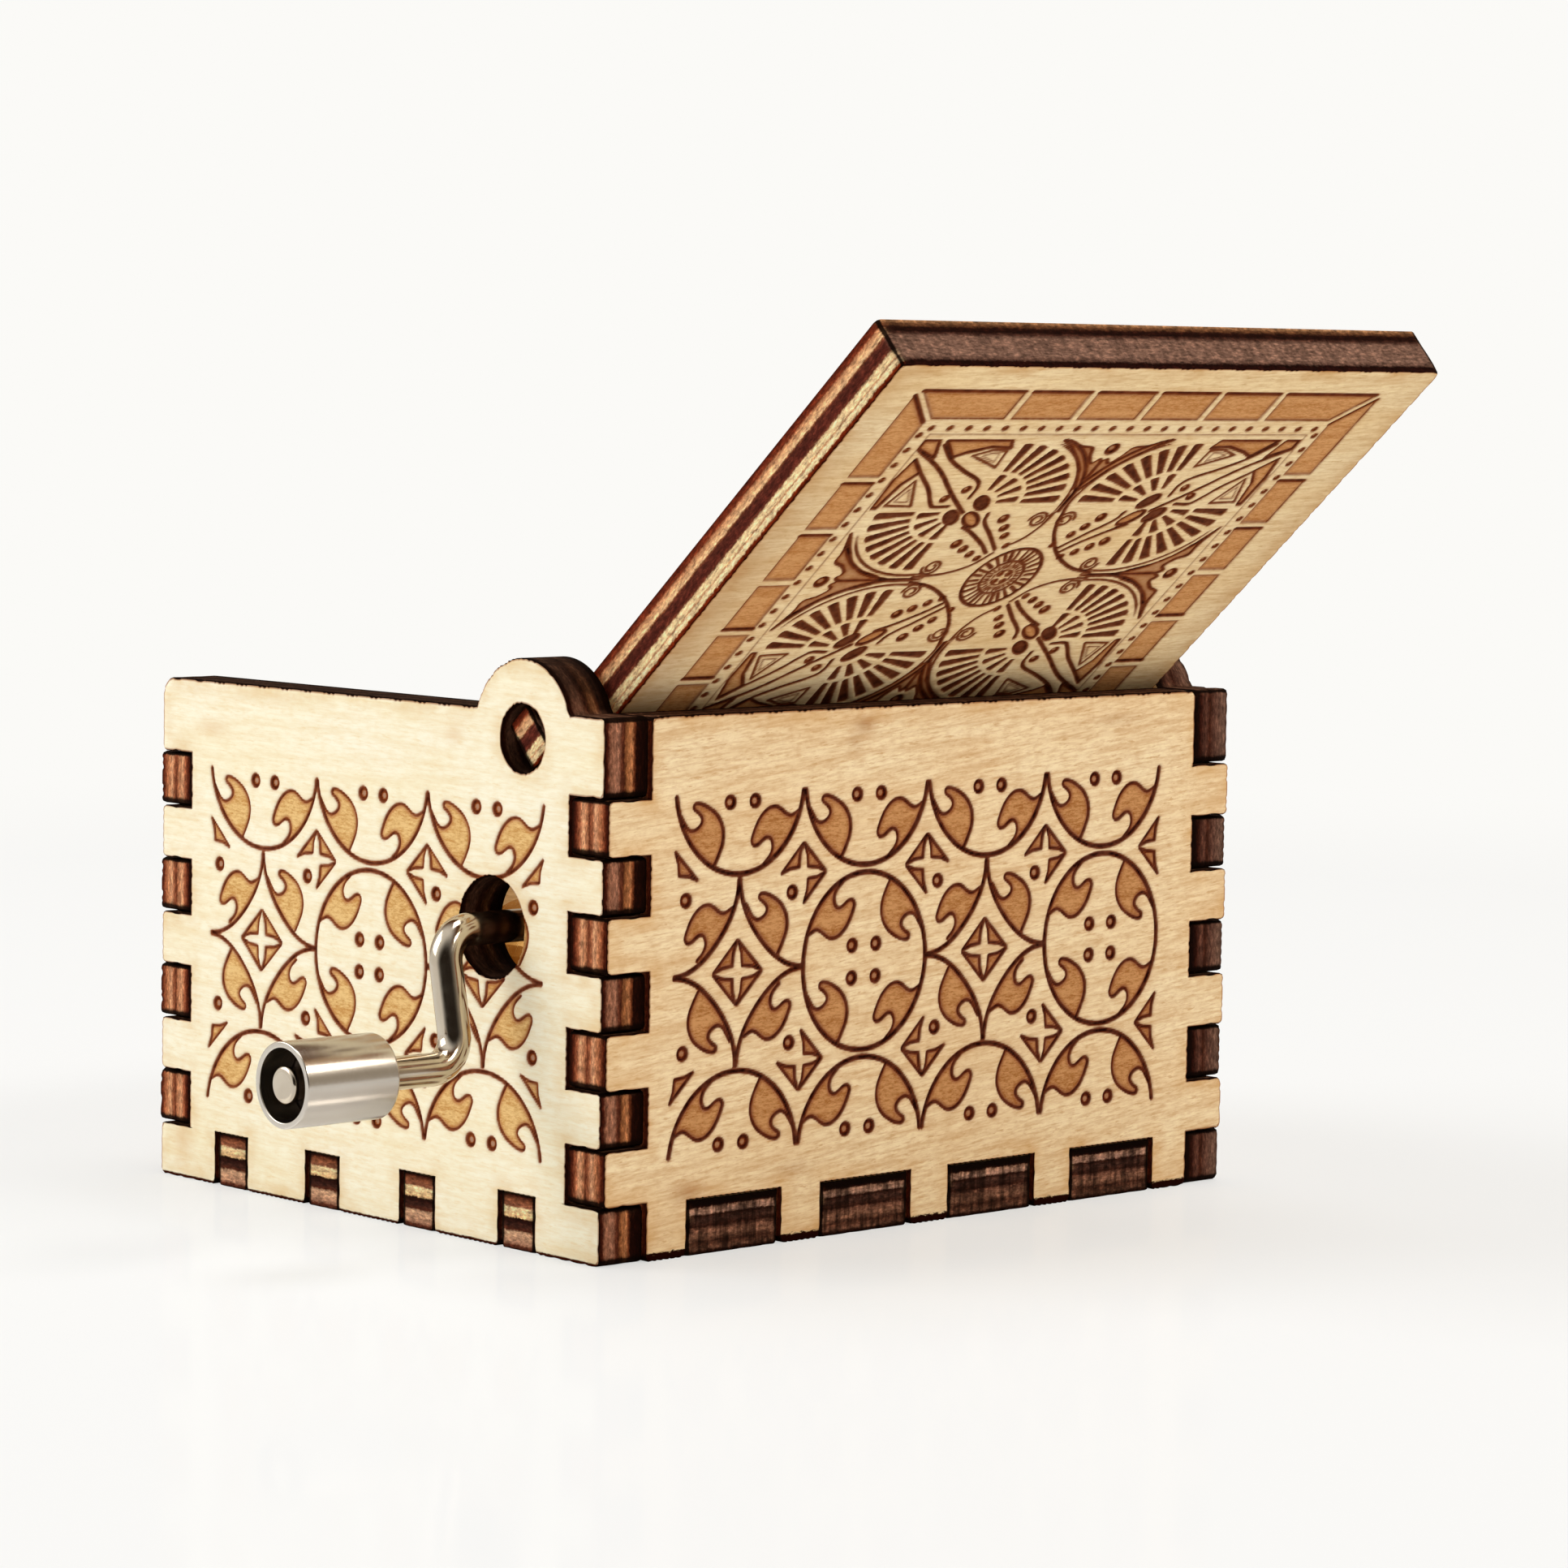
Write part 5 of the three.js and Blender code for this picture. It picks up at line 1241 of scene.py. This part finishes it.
metals = {
    # wire bent cold, polished and nickel-plated: a mirror with a slight waviness
    "steel": {"name": "nickel-plated steel, polished", "base": "#CCC0AE", "worn": "#B8AB98", "roughness": 0.13,
              "bump": 0.0004, "grain": 1.6},
    # bare, turned and left: a duller sheen
    "turnedSteel": {"name": "turned steel", "base": "#C6C2BA", "worn": "#A8A39A", "roughness": 0.22,
                    "bump": 0.002, "grain": 0.6},
    # turned on a lathe, left satin: a soft sheen drawn out by fine rings
    "aluminium": {"name": "aluminium, turned satin", "base": "#CBC3B8", "worn": "#BFB7AB", "roughness": 0.2,
                  "bump": 0.0015, "grain": 3.0, "lines": ((9.0, 1.0, 0.4), 0.9, "turning")},
    # the bore and recess, painted dark as the shade inside them, with rings that catch a little light
    "bore": {"name": "aluminium bore, darkened as painted shade", "base": "#4A4038", "worn": "#2E2620", "roughness": 0.42,
             "bump": 0.004, "grain": 0.6, "lines": ((0.5, 9.0, 2.0), 0.8, "turning")},
    # cast in a die and plated: a soft, slightly pitted grey
    "zinc": {"name": "zinc, die-cast and plated", "base": "#B9B6AF", "worn": "#96928A", "roughness": 0.38,
             "bump": 0.012, "grain": 0.35},
    # ground flat: close parallel lines that stretch the highlights
    "ground": {"name": "spring steel, ground", "base": "#B5B6B8", "worn": "#8E9093", "roughness": 0.26,
               "bump": 0.004, "grain": 0.5, "lines": ((300.0, 9000.0, 300.0), 0.8, None)},
    # turned: warm and bright, with faint rings
    "brass": {"name": "brass, turned", "base": "#C9A262", "worn": "#B08440", "roughness": 0.24,
              "bump": 0.003, "grain": 0.5, "lines": ((900.0, 6000.0, 900.0), 0.6, None)},
}

metalFinish = {
    "driftScale": 0.35,          # repeats in the width of the grain
    "grainScale": 2.0,
    "wear": [(0.35, 0.0), (0.7, 1.0)],
    "heightRange": (0.3, 0.7),   # of the height, which the next spreads over
    "roughRange": (0.75, 1.3),   # times the metal's own roughness
    "noise": (3.0, 0.6),         # detail and roughness
    "toolNoise": (3.0, 0.7),
    "bumpStrength": 0.6,
}


def makeMetal(spec):
    # tone and roughness drift with noise; the height is the grain, mixed with the tool lines where there are any
    material, add = newMaterial(spec["name"])
    place = add("ShaderNodeTexCoord").outputs["Object"]
    at = add("ShaderNodeMapping", {"Vector": place, "Scale": (1 / (mm * spec["grain"]),) * 3})
    detail, roughness = metalFinish["noise"]
    drift, height = (add("ShaderNodeTexNoise", {"Vector": at, "Scale": metalFinish[scale], "Detail": detail,
                                                "Roughness": roughness}) for scale in ("driftScale", "grainScale"))
    if "lines" in spec:
        density, share, attribute = spec["lines"]
        source = add("ShaderNodeAttribute", attribute_name=attribute) if attribute else place
        lineAt = add("ShaderNodeMapping", {"Vector": source, "Scale": density})
        detail, roughness = metalFinish["toolNoise"]
        tool = add("ShaderNodeTexNoise", {"Vector": lineAt, "Scale": 1.0, "Detail": detail, "Roughness": roughness})
        height = add("ShaderNodeMix", {0: share, 2: height, 3: tool}, data_type="FLOAT")
    wear = add("ShaderNodeValToRGB", {"Fac": drift}, metalFinish["wear"])
    colour = add("ShaderNodeMix", {0: wear, 6: spec["base"], 7: spec["worn"]}, data_type="RGBA")
    (low, high), (shiny, dull) = metalFinish["heightRange"], np.multiply(metalFinish["roughRange"], spec["roughness"])
    roughness = add("ShaderNodeMapRange", {"Value": height, "From Min": low, "From Max": high, "To Min": shiny,
                                           "To Max": dull})
    bump = add("ShaderNodeBump", {"Strength": metalFinish["bumpStrength"], "Distance": spec["bump"] * mm,
                                  "Height": height})
    shader = add("ShaderNodeBsdfPrincipled", {"Base Color": colour, "Metallic": 1.0, "Roughness": roughness,
                                              "Normal": bump})
    add("ShaderNodeOutputMaterial", {"Surface": shader})
    return material


madeMetals = {name: makeMetal(spec) for name, spec in metals.items()}
makeRod(crankSizes, madeMetals["steel"])
makeKnob(knobSizes, madeMetals["aluminium"], madeMetals["bore"])

# the pieces of the movement keep their solids
dressing = {
    "turnedSteel": ("worm_shaft", "drum_arbor"),
    "ground": ("comb",),
    "zinc": ("bedplate", "crank_bracket"),
    "brass": ("drum", "drum_wheel", "drum_cap"),
    "steel": ("comb_screw_1", "comb_screw_2", "bracket_screw_1", "bracket_screw_2", "fixing_screw_1",
              "fixing_screw_2"),
}
for metal, nodes in dressing.items():
    for node in nodes:
        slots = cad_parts[node].material_slots
        for item in slots:
            item.material = madeMetals[metal]
        if not slots:
            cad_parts[node].data.materials.append(madeMetals[metal])
print("crank and movement made")


# Studio: a white table that turns into a white backdrop, a soft key lamp from the camera's left, a weak fill from
# the right, a lamp above, and a dim room behind the camera

studio = {
    "white": "#FBFAF7",
    "paper": "#EDF3FC",
    "paperGlow": 0.58,         # share of the table's look that is plain white, for the camera only
    "mirror": 0.11,            # share of a faint mirror image of the box's foot in the table
    "mirrorTint": "#FFFFFF",
    "mirrorRoughness": 0.1,
    "floorHalf": 3.0,
    "fade": (0.1, 0.38),       # m from the middle of the box, where the table turns into the backdrop
    "sky": 0.44,
    "skyTint": "#FFF2DE",
    "room": "#2C2620",
    "roomFrom": (0.35, 0.85),  # share of the direction that looks back at the room, where it sets in
    "wallTo": (-0.1, 0.35),    # share of the direction along x, where the wall gives way to the backdrop
    # the side that the knob mirrors, from the horizon up: a grey wall under a brown ceiling
    "wall": [(0.0, "#B4AA9C"), (0.34, "#A89C8C"), (0.46, "#E8E2D8"), (0.6, "#9A7450"), (0.68, "#5E3A20"),
             (1.0, "#6E4828")],
    "aim": (0.0, 0.0, 0.025),
    "lamps": {
        "keyLamp": {"place": (0.70, -0.66, 0.62), "size": (0.7, 0.7), "power": 7.5, "tint": "#FFFDF8"},
        "fillLamp": {"place": (-0.42, 0.80, 0.70), "size": (0.7, 0.17), "power": 4.6, "tint": "#FFF8EE"},
        "topLamp": {"place": (-0.15, 0.05, 1.1), "size": (0.5, 0.5), "power": 3.6, "tint": "#FFFFFF"},
    },
}


def makeTable(spec):
    # coated white paper: matt, with a faint mirror image. The backdrop's white covers it by the larger of two
    # shares: the distance over the fade, and, for the camera, the glow.
    material, add = newMaterial("paper, coated white")
    place = add("ShaderNodeTexCoord").outputs["Object"]
    away = add("ShaderNodeVectorMath", {0: place}, operation="LENGTH").outputs["Value"]
    low, high = spec["fade"]
    fade = add("ShaderNodeMapRange", {"Value": away, "From Min": low, "From Max": high},
               interpolation_type="SMOOTHSTEP")
    seen = add("ShaderNodeLightPath").outputs["Is Camera Ray"]
    glowing = add("ShaderNodeMath", {0: seen, 1: spec["paperGlow"]}, operation="MULTIPLY")
    cover = add("ShaderNodeMath", {0: fade, 1: glowing}, operation="MAXIMUM")
    matt = add("ShaderNodeBsdfDiffuse", {"Color": spec["paper"]})
    mirror = add("ShaderNodeBsdfGlossy", {"Color": spec["mirrorTint"], "Roughness": spec["mirrorRoughness"]})
    paper = add("ShaderNodeMixShader", {0: spec["mirror"], 1: matt, 2: mirror})
    white = add("ShaderNodeEmission", {"Color": spec["white"], "Strength": 1.0})
    add("ShaderNodeOutputMaterial", {"Surface": add("ShaderNodeMixShader", {0: cover, 1: paper, 2: white})})
    half = spec["floorHalf"]
    makeMesh("table", [(-half, -half, 0), (half, -half, 0), (half, half, 0), (-half, half, 0)],
                      [(0, 1, 2, 3)], [material])


def makeWorld(spec):
    # the camera sees plain white. Mirrors see white too, with the wall where x is low and the room where the
    # direction, times that towards the camera, is high. All other rays get an even light.
    world = bpy.data.worlds.new("studio")
    bpy.context.scene.world = world
    world.use_nodes = True
    world.node_tree.nodes.clear()
    add = partial(addNode, world.node_tree)
    rays = add("ShaderNodeLightPath").outputs
    seen = add("ShaderNodeMath", {0: rays["Is Camera Ray"], 1: rays["Is Glossy Ray"]}, operation="MAXIMUM")
    seen = add("ShaderNodeMath", {0: seen, 1: rays["Is Transmission Ray"]}, operation="MAXIMUM")
    direction = add("ShaderNodeTexCoord").outputs["Generated"]
    turn = np.radians(shot["azimuth"])
    towards = add("ShaderNodeVectorMath", {0: direction, 1: (np.sin(turn), -np.cos(turn), 0.0)},
                  operation="DOT_PRODUCT").outputs["Value"]
    low, high = spec["roomFrom"]
    behind = add("ShaderNodeMapRange", {"Value": towards, "From Min": low, "From Max": high},
                 interpolation_type="SMOOTHSTEP")
    x, y, z = add("ShaderNodeSeparateXYZ", {0: direction}).outputs
    low, high = spec["wallTo"]
    aside = add("ShaderNodeMapRange", {"Value": x, "From Min": low, "From Max": high, "To Min": 1.0, "To Max": 0.0},
                interpolation_type="SMOOTHSTEP")
    wall = add("ShaderNodeValToRGB", {"Fac": z}, spec["wall"])
    shade = add("ShaderNodeMix", {0: aside, 6: spec["white"], 7: wall}, data_type="RGBA")
    for share, colour in ((behind, spec["room"]), (rays["Is Camera Ray"], spec["white"])):
        shade = add("ShaderNodeMix", {0: share, 6: shade, 7: colour}, data_type="RGBA")
    soft = add("ShaderNodeBackground", {"Color": spec["skyTint"], "Strength": spec["sky"]})
    bright = add("ShaderNodeBackground", {"Color": shade, "Strength": 1.0})
    add("ShaderNodeOutputWorld", {"Surface": add("ShaderNodeMixShader", {0: seen, 1: soft, 2: bright})})


def makeLamps(spec):
    # each lamp looks at the aim: its back is its place less the aim
    for name, lamp in spec["lamps"].items():
        light = bpy.data.lights.new(name, "AREA")
        light.shape = "RECTANGLE"
        light.size, light.size_y = lamp["size"]
        light.energy = lamp["power"]
        light.color = linear(lamp["tint"])[:3]
        placeObject(name, light, facingPose(np.subtract(lamp["place"], spec["aim"]), lamp["place"]))


makeTable(studio)
makeWorld(studio)
makeLamps(studio)
print("studio made")

bpy.context.scene.view_settings.view_transform = "Standard"
